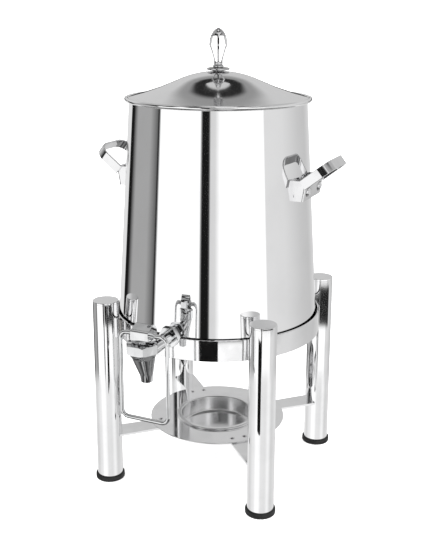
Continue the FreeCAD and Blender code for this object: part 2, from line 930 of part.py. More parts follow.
def make_stem():
    """Lifting stem, with the seal that closes the outlet and its spring."""
    rod = turned("stem_rod", [
        (0, D.stem_low),
        (D.stem_radius, D.stem_low),
        (D.stem_radius, D.pivot_height + D.stem_eye),
        (0, D.pivot_height + D.stem_eye),
    ])
    place(rod, y=-D.valve_distance)
    eye = primitive("Cylinder", "stem_eye_hole", Radius=D.rod_radius + D.thread_clearance,
                    Height=D.stem_eye_length)
    place(eye, -D.stem_eye_length / 2, -D.valve_distance, D.pivot_height, Y_AXIS, 90)
    finish(boolean("Cut", "faucet_stem", rod, eye), "faucet_stem")

    low = D.chamber_floor + D.seat_gap
    top = low + D.seat_cup_height
    cup = turned("faucet_seat_cup", [
        (0, low),
        (D.seat_cup_radius - D.seat_cup_bevel, low),
        (D.seat_cup_radius, low + D.seat_cup_bevel),
        (D.seat_cup_radius, top),
        (D.stem_radius, top),
        (D.stem_radius, D.stem_low),
        (0, D.stem_low),
    ])
    place(cup, y=-D.valve_distance)
    finish(cup, "faucet_seat_cup")

    helix = primitive("Helix", "spring_path", Pitch=D.spring_pitch, Height=D.spring_height,
                      Radius=D.spring_radius)
    wire = primitive("Circle", "spring_wire_section", Radius=D.spring_wire)
    place(wire, D.spring_radius, 0, 0, X_AXIS, 90)
    spring = doc.addObject("Part::Sweep", "faucet_spring")
    spring.Sections = [wire]
    spring.Spine = (helix, ["Edge1"])
    spring.Solid = True
    spring.Frenet = True
    place(spring, 0, -D.valve_distance, D.spring_low)
    finish(spring, "faucet_spring")


# --- lever ------------------------------------------------------------------

def make_hoop():
    """Round rod bent to a closed rectangle; a cup pushes its lower side."""
    wide = D.hoop_half_width
    bend = D.hoop_bend
    hoop = new_body("hoop_rod")
    path = new_sketch(hoop, "XZ_Plane", D.valve_distance)
    draw(path, [
        (0, D.pivot_height),
        (-wide + bend, D.pivot_height, Bend(bend)),
        (-wide, D.pivot_height - bend),
        (-wide, D.hoop_low + bend, Bend(bend)),
        (-wide + bend, D.hoop_low),
        (wide - bend, D.hoop_low, Bend(bend)),
        (wide, D.hoop_low + bend),
        (wide, D.pivot_height - bend, Bend(bend)),
        (wide - bend, D.pivot_height),
    ])
    section = new_sketch(hoop, "YZ_Plane")
    draw_circle(section, -D.valve_distance, D.pivot_height, D.rod_radius)
    pipe = hoop.newObject("PartDesign::AdditivePipe", "hoop_pipe")
    pipe.Profile = section
    pipe.Spine = (path, [])
    finish(hoop, "lever_hoop")


def make_hub():
    """Block clamped on the rod; its fork straddles the stem."""
    front = -D.hub_front
    back = -D.hub_back
    low = D.hub_low
    hub = new_body("hub_block")
    side = new_sketch(hub, "YZ_Plane")
    draw(side, [
        (front, low),
        (back, low),
        (back, D.hub_top - D.hub_shoulder, Bend(D.hub_shoulder_bend)),
        (back - D.hub_shoulder, D.hub_top),
        (front + D.hub_nose, D.hub_top - D.hub_nose_high, Bend(D.hub_nose)),
        (front, D.hub_top - D.hub_nose_low),
    ])
    pad(hub, side, D.hub_half_width * 2, midplane=True)

    fork = primitive("Box", "hub_fork", Length=D.fork_gap * 2, Width=D.fork_swing * 2,
                     Height=D.fork_top - low)
    place(fork, -D.fork_gap, -D.valve_distance - D.fork_swing, low)
    rod = primitive("Cylinder", "hub_rod_hole", Radius=D.rod_radius, Height=D.hub_half_width * 2)
    place(rod, -D.hub_half_width, -D.valve_distance, D.pivot_height, Y_AXIS, 90)
    screw_hole = primitive("Cylinder", "hub_screw_hole", Radius=D.set_screw_radius,
                           Height=D.hub_top - D.pivot_height)
    set_screw_x = (D.fork_gap + D.hub_half_width) / 2
    place(screw_hole, set_screw_x, -D.valve_distance, D.pivot_height)
    hollow = fuse("hub_hollow", [fork, rod, screw_hole])
    finish(boolean("Cut", "lever_hub", hub, hollow), "lever_hub")

    screw_low = D.pivot_height + D.rod_radius
    screw = primitive("Cylinder", "lever_set_screw", Radius=D.set_screw_radius,
                      Height=D.hub_top - D.set_screw_sink - screw_low)
    place(screw, set_screw_x, -D.valve_distance, screw_low)
    finish(screw, "lever_set_screw")

    collars = []
    for sign, turn in ((1, 90), (-1, -90)):
        collar = turned("collar", [
            (D.rod_radius, D.hub_half_width),
            (D.collar_radius, D.hub_half_width),
            (D.collar_radius, D.hub_half_width + D.collar_width),
            (D.rod_radius, D.hub_half_width + D.collar_width),
        ])
        place(collar, 0, -D.valve_distance, D.pivot_height, Y_AXIS, turn)
        collars.append(collar)
    finish(group("lever_collars", collars), "lever_collars")


# --- lid --------------------------------------------------------------------

def make_lid():
    hole = D.stud_radius + D.thread_clearance
    top = D.dome_top
    sheet = D.dome_sheet
    crown = D.crown_bend
    flare = D.flare_bend
    dome = turned("dome_sheet_body", [
        (hole, top - sheet, Bend(crown, left=False)),
        (D.crown_edge, D.crown_height - sheet, Bend(flare)),
        (D.flare_edge, D.flare_height - sheet),
        (D.flare_edge, D.flare_height, Bend(flare, left=False)),
        (D.crown_edge, D.crown_height, Bend(crown)),
        (hole, top),
    ])
    bead = primitive("Torus", "rim_bead", Radius1=D.rim_radius, Radius2=D.rim_bead)
    place(bead, z=D.rim_height)
    finish(fuse("lid_dome", [dome, bead]), "lid_dome")

    wall = D.skirt_wall
    skirt = turned("lid_skirt", [
        (D.skirt_radius - wall, D.skirt_low),
        (D.skirt_radius, D.skirt_low),
        (D.skirt_radius, D.urn_high),
        (D.skirt_flange, D.urn_high),
        (D.skirt_flange, D.urn_high + wall),
        (D.skirt_radius - wall, D.urn_high + wall),
    ])
    finish(skirt, "lid_skirt")


def knob_disc(name, radius, low, high):
    """Round plate of the knob's foot, with rounded rims and the stud's hole."""
    hole = D.stud_radius + D.thread_clearance
    bend = (as_size(high) - low) * DISC_ROUNDING
    disc = turned(name, [
        (hole, low),
        (radius - bend, low, Bend(bend)),
        (radius, as_size(low) + bend),
        (radius, as_size(high) - bend, Bend(bend)),
        (radius - bend, high),
        (hole, high),
    ])
    return finish(disc, name)


def make_cage():
    """Bud-shaped finial: four ribs that meet in a solid tip."""
    wall = D.cage_wall
    bud = turned("cage_bud", [
        (0, D.cage_low),
        (D.cage_foot, D.cage_low),
        (D.cage_foot, D.cage_foot_top, Bend(D.cage_neck_bend, left=False)),
        (D.cage_belly, D.cage_belly_height, Bend(D.cage_belly_bend)),
        (D.cage_shoulder, D.cage_shoulder_height, Bend(D.cage_shoulder_bend)),
        (0, D.cage_top),
        (0, D.cage_tip_low + D.cage_tip_dip),
        (D.cage_shoulder - wall, D.cage_tip_low),
        (D.cage_belly - wall, D.cage_belly_height),
        (D.cage_foot - wall, D.cage_foot_top),
        (0, D.cage_foot_top),
    ])
    reach = D.cage_belly + wall
    tall = D.cage_top - D.cage_low
    ribs = []
    for index in range(2):
        rib = primitive("Box", f"cage_rib_{index}", Length=reach * 2, Width=D.rib_width,
                        Height=tall)
        place(rib, -reach, -D.rib_width / 2, D.cage_low)
        ribs.append(place(group(f"cage_rib_turned_{index}", [rib]), angle=90 * index))
    tip = primitive("Cylinder", "cage_tip", Radius=reach, Height=D.cage_top - D.cage_tip_low)
    place(tip, z=D.cage_tip_low)
    foot = primitive("Cylinder", "cage_foot_disc", Radius=reach,
                     Height=D.cage_foot_top - D.cage_low)
    place(foot, z=D.cage_low)
    frame = fuse("cage_frame", [*ribs, tip, foot])
    cage = boolean("Common", "cage_solid", bud, frame)
    bore = primitive("Cylinder", "cage_bore", Radius=D.stud_radius,
                     Height=D.cage_foot_top - D.cage_low)
    place(bore, z=D.cage_low)
    bored = boolean("Cut", "knob_cage", cage, bore)
    place(bored, axis=Z_AXIS, angle=D.rib_turn.value)
    bind(bored, "Placement.Rotation.Angle", D.rib_turn)
    finish(bored, "knob_cage")


def make_knob():
    knob_disc("knob_neck", D.neck_radius, D.dome_top, D.disc_low)
    knob_disc("knob_disc", D.disc_radius, D.disc_low, D.disc_high)
    knob_disc("knob_ring", D.collar_ring_radius, D.disc_high, D.cage_low)
    make_cage()

    stud = primitive("Cylinder", "knob_stud", Radius=D.stud_radius,
                     Height=D.cage_foot_top - D.stud_low)
    finish(place(stud, z=D.stud_low), "knob_stud")
    washer_low = D.knob_washer_top - D.knob_washer_thickness
    knob_disc("knob_washer", D.knob_washer_radius, washer_low, D.knob_washer_top)
    nut = hex_blank("knob_nut", D.knob_nut_corner, D.knob_nut_height,
                    D.stud_radius + D.thread_clearance)
    finish(place(nut, z=washer_low - D.knob_nut_height), "knob_nut")


# --- whole object -----------------------------------------------------------

def check(item):
    """Stop on an object that failed to build."""
    states = set(item.State)
    if states & {"Invalid", "Error"}:
        raise RuntimeError(f"{item.Name}: {item.State}")


def check_sub_part(item):
    """Stop on a sub-part whose shape is unusable."""
    shape = item.Shape
    if shape.isNull() or not shape.isValid() or not shape.Solids:
        raise RuntimeError(f"{item.Label}: its shape is not a valid solid")


def main():
    make_sheet()
    make_legs()
    make_band()
    make_welds()
    make_arms()
    make_fuel_plate()
    make_well()
    make_urn()
    for name, angle in SIDES.items():
        make_bracket(name, angle)
        make_backing(name, angle)
        make_grip(name, angle)
        make_handle_fasteners(name, angle)
    make_shank()
    make_valve()
    make_stem()
    make_hoop()
    make_hub()
    make_lid()
    make_knob()
    doc.recompute()
    for item in doc.Objects:
        check(item)
    os.makedirs("parts", exist_ok=True)
    for item in sub_parts:
        check_sub_part(item)
        item.Shape.exportStep(f"parts/{item.Label}.step")
    print(len(sub_parts), "sub-parts written")


main()
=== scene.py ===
"""Looks of a fuel-heated coffee urn on a stand of four round legs."""

import logging
import math
from dataclasses import dataclass, field
from enum import Enum

import bmesh
import bpy
from mathutils import Matrix, Vector


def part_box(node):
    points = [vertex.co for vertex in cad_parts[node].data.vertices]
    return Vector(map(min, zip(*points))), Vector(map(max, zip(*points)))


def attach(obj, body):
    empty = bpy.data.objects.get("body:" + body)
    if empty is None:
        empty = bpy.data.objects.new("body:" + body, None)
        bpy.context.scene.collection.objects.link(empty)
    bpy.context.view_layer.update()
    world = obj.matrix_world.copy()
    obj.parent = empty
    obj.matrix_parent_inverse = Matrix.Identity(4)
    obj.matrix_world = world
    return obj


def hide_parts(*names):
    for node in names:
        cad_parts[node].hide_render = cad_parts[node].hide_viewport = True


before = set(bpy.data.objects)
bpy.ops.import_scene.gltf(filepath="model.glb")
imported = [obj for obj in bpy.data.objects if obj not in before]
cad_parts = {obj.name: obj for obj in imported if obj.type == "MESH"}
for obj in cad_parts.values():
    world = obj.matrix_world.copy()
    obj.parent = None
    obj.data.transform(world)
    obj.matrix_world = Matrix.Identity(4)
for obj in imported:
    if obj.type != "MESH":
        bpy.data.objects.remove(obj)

LOG = logging.getLogger("urn")
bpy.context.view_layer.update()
CORNERS = ("front_left", "front_right", "rear_left", "rear_right")
SIDES = {"right": 0.0, "left": math.pi}
UP = Vector((0.0, 0.0, 1.0))
MERGE = 1e-6
FLAT_TURN = math.radians(0.5)
ARC_STEP = math.radians(4.0)
EASE_STEPS = 4
SMUDGE_EDGES = (0.42, 0.68)
SWELL_SCALE = 22.0
GRAIN_GLOSS = 0.2


class Slot(Enum):
    """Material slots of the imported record."""

    POLISHED = "polished_steel"
    STAND = "stand_steel"
    CHROME = "faucet_chrome"
    INNER = "inner_steel"
    FASTENER = "fastener_steel"
    SEAL = "seal_rubber"
    RUBBER = "black_rubber"


class Body(Enum):
    """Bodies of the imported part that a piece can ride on."""

    STAND = "stand"
    URN = "urn"
    LID = "lid"
    STEM = "faucet_stem"
    LEVER = "faucet_lever"


# --- finishes ---------------------------------------------------------------

def group_socket(tree: bpy.types.NodeTree, name: str, kind: str, way: str,
                 value: float = 0.0) -> None:
    """Add a named socket to a node group.

    Args:
        tree: the node group.
        name: the socket's name.
        kind: the socket's type, such as NodeSocketFloat.
        way: INPUT or OUTPUT.
        value: a float input's first value.
    """
    socket = tree.interface.new_socket(name=name, in_out=way, socket_type=kind)
    if kind == "NodeSocketFloat":
        socket.default_value = value


def link_maths(tree: bpy.types.NodeTree, operation: str, first: object,
               second: object) -> bpy.types.NodeSocket:
    """Join two values with a Math node.

    Args:
        tree: the node tree to add to.
        operation: the Math node's operation.
        first: a socket or a number.
        second: a socket or a number.

    Returns:
        The node's output socket.
    """
    node = tree.nodes.new("ShaderNodeMath")
    node.operation = operation
    for index, item in enumerate((first, second)):
        if isinstance(item, bpy.types.NodeSocket):
            tree.links.new(item, node.inputs[index])
        else:
            node.inputs[index].default_value = item
    return node.outputs[0]


def mix_colours(tree: bpy.types.NodeTree, share: bpy.types.NodeSocket, first: bpy.types.NodeSocket,
                second: bpy.types.NodeSocket) -> bpy.types.NodeSocket:
    """Mix two colours.

    Args:
        tree: the node tree to add to.
        share: how much of the second there is.
        first: the first colour.
        second: the second colour.

    Returns:
        The mixed colour.
    """
    node = tree.nodes.new("ShaderNodeMix")
    node.data_type = "RGBA"
    inputs = [socket for socket in node.inputs if socket.type == "RGBA"]
    tree.links.new(share, node.inputs[0])
    tree.links.new(first, inputs[0])
    tree.links.new(second, inputs[1])
    return next(socket for socket in node.outputs if socket.type == "RGBA")


def noise(tree: bpy.types.NodeTree, vector: bpy.types.NodeSocket, scale: object,
          detail: float) -> bpy.types.NodeSocket:
    """Add a Noise node on a vector.

    Args:
        tree: the node tree to add to.
        vector: where the pattern is read.
        scale: a socket or a number, in turns per metre.
        detail: octaves of finer noise.

    Returns:
        The noise value, about 0.3 to 0.7.
    """
    node = tree.nodes.new("ShaderNodeTexNoise")
    node.inputs["Detail"].default_value = detail
    tree.links.new(vector, node.inputs["Vector"])
    if isinstance(scale, bpy.types.NodeSocket):
        tree.links.new(scale, node.inputs["Scale"])
    else:
        node.inputs["Scale"].default_value = scale
    return node.outputs["Fac"]


def make_handled_surface() -> bpy.types.NodeTree:
    """Build the group for handled metal and rubber: smudges, grain and fine waves.

    Returns:
        The node group, with outputs Tone, Roughness and Height.
    """
    tree = bpy.data.node_groups.new("handled_surface", "ShaderNodeTree")
    group_socket(tree, "Place", "NodeSocketVector", "INPUT")
    group_socket(tree, "Gloss Roughness", "NodeSocketFloat", "INPUT", 0.04)
    group_socket(tree, "Smudge", "NodeSocketFloat", "INPUT", 0.03)
    group_socket(tree, "Smudge Scale", "NodeSocketFloat", "INPUT", 18.0)
    group_socket(tree, "Grain", "NodeSocketFloat", "INPUT", 0.0)
    group_socket(tree, "Grain Scale", "NodeSocketFloat", "INPUT", 900.0)
    group_socket(tree, "Wave", "NodeSocketFloat", "INPUT", 0.1)
    group_socket(tree, "Light Tone", "NodeSocketColor", "INPUT")
    group_socket(tree, "Dark Tone", "NodeSocketColor", "INPUT")
    group_socket(tree, "Tone", "NodeSocketColor", "OUTPUT")
    group_socket(tree, "Roughness", "NodeSocketFloat", "OUTPUT")
    group_socket(tree, "Height", "NodeSocketFloat", "OUTPUT")
    given = tree.nodes.new("NodeGroupInput").outputs
    result = tree.nodes.new("NodeGroupOutput").inputs

    smear = noise(tree, given["Place"], given["Smudge Scale"], 5.0)
    spread = tree.nodes.new("ShaderNodeMapRange")
    spread.interpolation_type = "SMOOTHSTEP"
    spread.inputs["From Min"].default_value = SMUDGE_EDGES[0]
    spread.inputs["From Max"].default_value = SMUDGE_EDGES[1]
    tree.links.new(smear, spread.inputs["Value"])
    grain = noise(tree, given["Place"], given["Grain Scale"], 3.0)
    swell = noise(tree, given["Place"], SWELL_SCALE, 1.0)

    tone = mix_colours(tree, spread.outputs["Result"], given["Light Tone"], given["Dark Tone"])
    tree.links.new(tone, result["Tone"])

    smudged = link_maths(tree, "MULTIPLY", spread.outputs["Result"], given["Smudge"])
    grained = link_maths(tree, "MULTIPLY", grain, given["Grain"])
    gloss = link_maths(tree, "ADD", given["Gloss Roughness"], smudged)
    roughened = link_maths(tree, "MULTIPLY", grained, GRAIN_GLOSS)
    tree.links.new(link_maths(tree, "ADD", gloss, roughened), result["Roughness"])
    waved = link_maths(tree, "MULTIPLY", swell, given["Wave"])
    tree.links.new(link_maths(tree, "ADD", grained, waved), result["Height"])
    return tree


@dataclass(frozen=True)
class Finish:
    """A surface: its slot of the record and how it looks.

    Tones are linear colours; lengths are in metres.
    """

    name: str
    slot: Slot
    light: tuple[float, float, float]
    dark: tuple[float, float, float]
    metallic: float
    roughness: float
    smudge: float
    smudge_scale: float = 18.0
    grain: float = 0.0
    grain_scale: float = 900.0
    wave: float = 0.1
    depth: float = 0.0001
    stretch: tuple[float, float, float] = (1.0, 1.0, 1.0)

    def material(self) -> bpy.types.Material:
        """Give the finish's material, made the first time it is asked for.

        Returns:
            The material.
        """
        known = bpy.data.materials.get(self.name)
        if known is not None:
            return known
        made = bpy.data.materials.new(self.name)
        made.use_nodes = True
        made.diffuse_color = (*self.light, 1.0)
        tree = made.node_tree
        shader = next(node for node in tree.nodes if node.type == "BSDF_PRINCIPLED")
        shader.inputs["Metallic"].default_value = self.metallic
        place = tree.nodes.new("ShaderNodeTexCoord")
        mapping = tree.nodes.new("ShaderNodeMapping")
        mapping.inputs["Scale"].default_value = self.stretch
        surface = tree.nodes.new("ShaderNodeGroup")
        surface.node_tree = bpy.data.node_groups["handled_surface"]
        values = {
            "Gloss Roughness": self.roughness, "Smudge": self.smudge,
            "Smudge Scale": self.smudge_scale, "Grain": self.grain,
            "Grain Scale": self.grain_scale, "Wave": self.wave,
            "Light Tone": (*self.light, 1.0), "Dark Tone": (*self.dark, 1.0),
        }
        for name, value in values.items():
            surface.inputs[name].default_value = value
        bump = tree.nodes.new("ShaderNodeBump")
        bump.inputs["Distance"].default_value = self.depth
        tree.links.new(place.outputs["Object"], mapping.inputs["Vector"])
        tree.links.new(mapping.outputs["Vector"], surface.inputs["Place"])
        tree.links.new(surface.outputs["Tone"], shader.inputs["Base Color"])
        tree.links.new(surface.outputs["Roughness"], shader.inputs["Roughness"])
        tree.links.new(surface.outputs["Height"], bump.inputs["Height"])
        tree.links.new(bump.outputs["Normal"], shader.inputs["Normal"])
        return made


MIRROR_STEEL = Finish(
    "mirror_steel", Slot.POLISHED, (0.93, 0.93, 0.935), (0.90, 0.90, 0.905),
    metallic=1.0, roughness=0.025, smudge=0.02, wave=0.25, depth=0.00004)
LID_STEEL = Finish(
    "spun_lid_steel", Slot.POLISHED, (0.93, 0.93, 0.935), (0.89, 0.89, 0.895),
    metallic=1.0, roughness=0.06, smudge=0.03, wave=0.2, depth=0.00004)
KNOB_STEEL = Finish(
    "cast_knob_steel", Slot.POLISHED, (0.62, 0.62, 0.625), (0.50, 0.50, 0.505),
    metallic=1.0, roughness=0.045, smudge=0.03, smudge_scale=60.0, wave=0.3, depth=0.00005)
# Polished steel of the handles, its tones lowered below the urn's as painted shade that darkens
# the grips and brackets as a whole.
HANDLE_STEEL_PAINTED_SHADE = Finish(
    "bent_handle_steel_painted_shade", Slot.POLISHED, (0.80, 0.80, 0.805), (0.72, 0.72, 0.725),
    metallic=1.0, roughness=0.04, smudge=0.03, smudge_scale=40.0, wave=0.3, depth=0.00004)
TUBE_STEEL = Finish(
    "polished_tube_steel", Slot.STAND, (0.92, 0.92, 0.925), (0.88, 0.88, 0.885),
    metallic=1.0, roughness=0.035, smudge=0.03, smudge_scale=30.0, wave=0.3, depth=0.00003)
SHEET_STEEL = Finish(
    "polished_sheet_steel", Slot.STAND, (0.91, 0.91, 0.915), (0.86, 0.86, 0.865),
    metallic=1.0, roughness=0.05, smudge=0.05, smudge_scale=26.0, wave=0.4, depth=0.00005)
WELL_STEEL = Finish(
    "drawn_well_steel", Slot.STAND, (0.92, 0.92, 0.925), (0.88, 0.88, 0.885),
    metallic=1.0, roughness=0.17, smudge=0.05, smudge_scale=40.0, grain=0.3, wave=0.3,
    depth=0.00003)
WELD_STEEL = Finish(
    "weld_bead_steel", Slot.STAND, (0.80, 0.79, 0.77), (0.62, 0.60, 0.58),
    metallic=1.0, roughness=0.22, smudge=0.1, grain=1.0, grain_scale=700.0, depth=0.0003)
# The faucet's chrome: its tones are partly the plating's own and partly painted shade, lowered to
# darken the casting, hoop, nuts and collars as a whole.
CHROME = Finish(
    "cast_chrome_painted_shade", Slot.CHROME, (0.78, 0.785, 0.79), (0.68, 0.685, 0.69),
    metallic=1.0, roughness=0.035, smudge=0.04, smudge_scale=60.0, wave=0.6, depth=0.00015)
SATIN_STEEL = Finish(
    "satin_inner_steel", Slot.INNER, (0.72, 0.72, 0.72), (0.64, 0.64, 0.64),
    metallic=1.0, roughness=0.22, smudge=0.08, grain=1.0, grain_scale=1400.0,
    depth=0.00002, stretch=(1.0, 1.0, 12.0))
SCREW_STEEL = Finish(
    "turned_screw_steel", Slot.FASTENER, (0.86, 0.86, 0.865), (0.76, 0.76, 0.77),
    metallic=1.0, roughness=0.07, smudge=0.06, smudge_scale=80.0, grain=0.4,
    grain_scale=2000.0, depth=0.00002)
SEAL_RUBBER = Finish(
    "dark_seal_rubber", Slot.SEAL, (0.035, 0.035, 0.036), (0.02, 0.02, 0.021),
    metallic=0.0, roughness=0.55, smudge=0.1, grain=1.0, grain_scale=1600.0, depth=0.00005)
FOOT_RUBBER = Finish(
    "black_foot_rubber", Slot.RUBBER, (0.009, 0.009, 0.009), (0.005, 0.005, 0.005),
    metallic=0.0, roughness=0.42, smudge=0.15, smudge_scale=90.0, grain=1.0,
    grain_scale=1300.0, depth=0.00008)


# --- mesh helpers -----------------------------------------------------------

@dataclass(frozen=True)
class Corner:
    """A corner of an outline in the XZ plane, and the way on from it.

    Attributes:
        across: distance from the axis.
        up: height.
        bend: radius of the arc to the next corner, above 0 when it turns
            left and below 0 when it turns right; 0 is a straight run.
        ease: how far the corner itself is rounded back.
    """

    across: float
    up: float
    bend: float = 0.0
    ease: float = 0.0

    def point(self) -> Vector:
        """Give the corner as a point."""
        return Vector((self.across, 0.0, self.up))


def bend_between(start: Corner, end: Corner) -> tuple[Vector, float]:
    """Find the arc that joins two corners.

    Args:
        start: the corner that the arc leaves, whose bend is its radius.
        end: the corner that it reaches.

    Returns:
        The arc's centre and its angle about +Y.
    """
    chord = end.point() - start.point()
    turn = math.copysign(1.0, start.bend)
    left = Vector((-chord.z, 0.0, chord.x)).normalized() * turn
    depth = math.sqrt(max(start.bend ** 2 - chord.length_squared / 4.0, 0.0))
    centre = start.point() + chord / 2.0 + left * depth
    angle = 2.0 * math.asin(min(1.0, chord.length / 2.0 / abs(start.bend)))
    return centre, -turn * angle


def draw_outline(mesh: bmesh.types.BMesh, corners: list[Corner], closed: bool) -> None:
    """Draw a wire through the corners, arc by arc and run by run.

    Args:
        mesh: the mesh to draw in.
        corners: the outline's corners.
        closed: whether the last corner joins the first.
    """
    first = mesh.verts.new(corners[0].point())
    eased = [(first, corners[0].ease)]
    end = first
    for here, following in zip(corners, corners[1:]):
        if here.bend:
            centre, angle = bend_between(here, following)
            steps = max(3, round(abs(angle) / ARC_STEP))
            swept = bmesh.ops.spin(mesh, geom=[end], cent=centre, axis=(0.0, 1.0, 0.0),
                                   angle=angle, steps=steps, use_merge=False)
            end = swept["geom_last"][0]
        else:
            end = bmesh.ops.extrude_vert_indiv(mesh, verts=[end])["verts"][0]
        end.co = following.point()
        eased.append((end, following.ease))
    if closed:
        bmesh.ops.contextual_create(mesh, geom=[end, first])
    for corner, ease in eased:
        if ease:
            bmesh.ops.bevel(mesh, geom=[corner], offset=ease, offset_type="OFFSET",
                            segments=EASE_STEPS, profile=0.5, affect="VERTICES", material=-1)


def close_up(mesh: bmesh.types.BMesh) -> None:
    """Merge a mesh's doubles and turn its faces outwards."""
    bmesh.ops.remove_doubles(mesh, verts=mesh.verts[:], dist=MERGE)
    bmesh.ops.recalc_face_normals(mesh, faces=mesh.faces[:])


def turned(corners: list[Corner], closed: bool = False, segments: int = 96) -> bmesh.types.BMesh:
    """Turn an outline about the upright axis.

    Args:
        corners: the outline, from axis to axis, or closed for a ring.
        closed: whether the outline is a closed one.
        segments: steps of the full turn.

    Returns:
        The turned mesh.
    """
    mesh = bmesh.new()
    draw_outline(mesh, corners, closed)
    bmesh.ops.spin(mesh, geom=mesh.verts[:] + mesh.edges[:], cent=(0.0, 0.0, 0.0), axis=UP,
                   angle=math.tau, steps=segments, use_merge=True)
    close_up(mesh)
    return mesh


def moved(mesh: bmesh.types.BMesh, matrix: Matrix) -> bmesh.types.BMesh:
    """Carry a mesh by a matrix and give it back."""
    bmesh.ops.transform(mesh, matrix=matrix, verts=mesh.verts[:])
    return mesh


def joined(meshes: list[bmesh.types.BMesh]) -> bmesh.types.BMesh:
    """Put several meshes into one.

    Args:
        meshes: the meshes, which are used up.

    Returns:
        The mesh that holds them all.
    """
    whole = bmesh.new()
    for mesh in meshes:
        carrier = bpy.data.meshes.new("carrier")
        mesh.to_mesh(carrier)
        mesh.free()
        whole.from_mesh(carrier)
        bpy.data.meshes.remove(carrier)
    return whole


def ease_edges(mesh: bmesh.types.BMesh, width: float, least: float = 30.0,
               segments: int = 3) -> None:
    """Round the edges that turn by more than an angle.

    Args:
        mesh: the mesh.
        width: how far each edge is rounded back.
        least: the smallest turn that is rounded, in degrees.
        segments: steps across the rounding.
    """
    sharp = [edge for edge in mesh.edges
             if edge.is_manifold and edge.calc_face_angle(0.0) > math.radians(least)]
    bmesh.ops.bevel(mesh, geom=sharp, offset=width, offset_type="OFFSET", segments=segments,
                    profile=0.5, affect="EDGES", clamp_overlap=True, material=-1)


def copied(node: str) -> bmesh.types.BMesh:
    """Copy a CAD node's mesh, with its loose triangles merged.

    Args:
        node: the node's name.

    Returns:
        The merged copy.
    """
    mesh = bmesh.new()
    mesh.from_mesh(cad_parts[node].data)
    bmesh.ops.remove_doubles(mesh, verts=mesh.verts[:], dist=MERGE)
    bmesh.ops.dissolve_degenerate(mesh, edges=mesh.edges[:], dist=MERGE)
    return mesh


def weigh_normals(piece: bpy.types.Object) -> None:
    """Keep a piece's flat faces flat beside its rounded edges."""
    weighted = piece.modifiers.new("flat faces", "WEIGHTED_NORMAL")
    weighted.mode = "FACE_AREA_WITH_ANGLE"
    weighted.weight = 80
    weighted.keep_sharp = True


def add_piece(name: str, mesh: bmesh.types.BMesh, finish: Finish, body: Body,
              nodes: list[str], sharp: float = 35.0) -> bpy.types.Object:
    """Make a piece of a mesh and tie it to its body and CAD nodes.

    Args:
        name: the piece's name.
        mesh: its mesh, which is used up.
        finish: its finish.
        body: the body that it rides on.
        nodes: the CAD nodes that it stands for.
        sharp: edges that turn by more than this many degrees stay crisp.

    Returns:
        The piece.
    """
    data = bpy.data.meshes.new(name)
    mesh.to_mesh(data)
    mesh.free()
    data.shade_smooth()
    data.set_sharp_from_angle(angle=math.radians(sharp))
    data.materials.append(finish.material())
    piece = bpy.data.objects.new(name, data)
    bpy.context.scene.collection.objects.link(piece)
    weigh_normals(piece)
    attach(piece, body.value)
    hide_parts(*nodes)
    LOG.info("%s: %d faces on %s", name, len(data.polygons), body.value)
    return piece


def dress(node: str, finish: Finish) -> None:
    """Give a CAD node that stays its finish.

    Args:
        node: the node's name.
        finish: its finish.
    """
    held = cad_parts[node].data.materials
    held.clear()
    held.append(finish.material())
    LOG.info("%s: dressed in %s", node, finish.name)


def centre_of(node: str) -> Vector:
    """Give the middle of a CAD node's box."""
    low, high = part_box(node)
    return (low + high) / 2.0


# --- stand ------------------------------------------------------------------

@dataclass
class Leg:
    """A leg: its tube, its cap and its rubber foot."""

    corner: str
    wall: float = 0.0015
    cap_thickness: float = 0.0025
    cap_ease: float = 0.0007
    foot_flange: float = 0.0065
    foot_ease: float = 0.0012
    tube_ease: float = 0.0003
    segments: int = 128

    def axis(self) -> Matrix:
        """Give the move from the origin to the leg's axis."""
        middle = centre_of(f"leg_tube_{self.corner}")
        return Matrix.Translation((middle.x, middle.y, 0.0))

    def build(self) -> None:
        """Build the tube, the cap and the foot."""
        low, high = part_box(f"leg_tube_{self.corner}")
        radius = (high.x - low.x) / 2.0
        inner = radius - self.wall
        tube = turned([
            Corner(inner, low.z),
            Corner(radius, low.z, ease=self.tube_ease),
            Corner(radius, high.z, ease=self.tube_ease),
            Corner(inner, high.z),
        ], closed=True, segments=self.segments)
        add_piece(f"tube_{self.corner}", moved(tube, self.axis()), TUBE_STEEL, Body.STAND,
                  [f"leg_tube_{self.corner}"])
        self.build_cap(radius)
        self.build_foot()

    def build_cap(self, radius: float) -> None:
        """Build the cap with its plug.

        Args:
            radius: the tube's outer radius.
        """
        low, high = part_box(f"leg_cap_{self.corner}")
        under = high.z - self.cap_thickness
        plug = radius - self.wall - self.tube_ease
        cap = turned([
            Corner(0.0, low.z),
            Corner(plug, low.z),
            Corner(plug, under),
            Corner(radius, under),
            Corner(radius, high.z, ease=self.cap_ease),
            Corner(0.0, high.z),
        ], segments=self.segments)
        add_piece(f"cap_{self.corner}", moved(cap, self.axis()), TUBE_STEEL, Body.STAND,
                  [f"leg_cap_{self.corner}"])

    def build_foot(self) -> None:
        """Build the rubber foot with its plug."""
        low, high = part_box(f"foot_{self.corner}")
        radius = (high.x - low.x) / 2.0
        tube_low, tube_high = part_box(f"leg_tube_{self.corner}")
        plug = (tube_high.x - tube_low.x) / 2.0 - self.wall - self.tube_ease
        foot = turned([
            Corner(0.0, low.z),
            Corner(radius, low.z, ease=self.foot_ease),
            Corner(radius, self.foot_flange, ease=self.foot_ease),
            Corner(plug, self.foot_flange),
            Corner(plug, high.z, ease=self.foot_ease),
            Corner(0.0, high.z),
        ])
        add_piece(f"foot_pad_{self.corner}", moved(foot, self.axis()), FOOT_RUBBER, Body.STAND,
                  [f"foot_{self.corner}"])


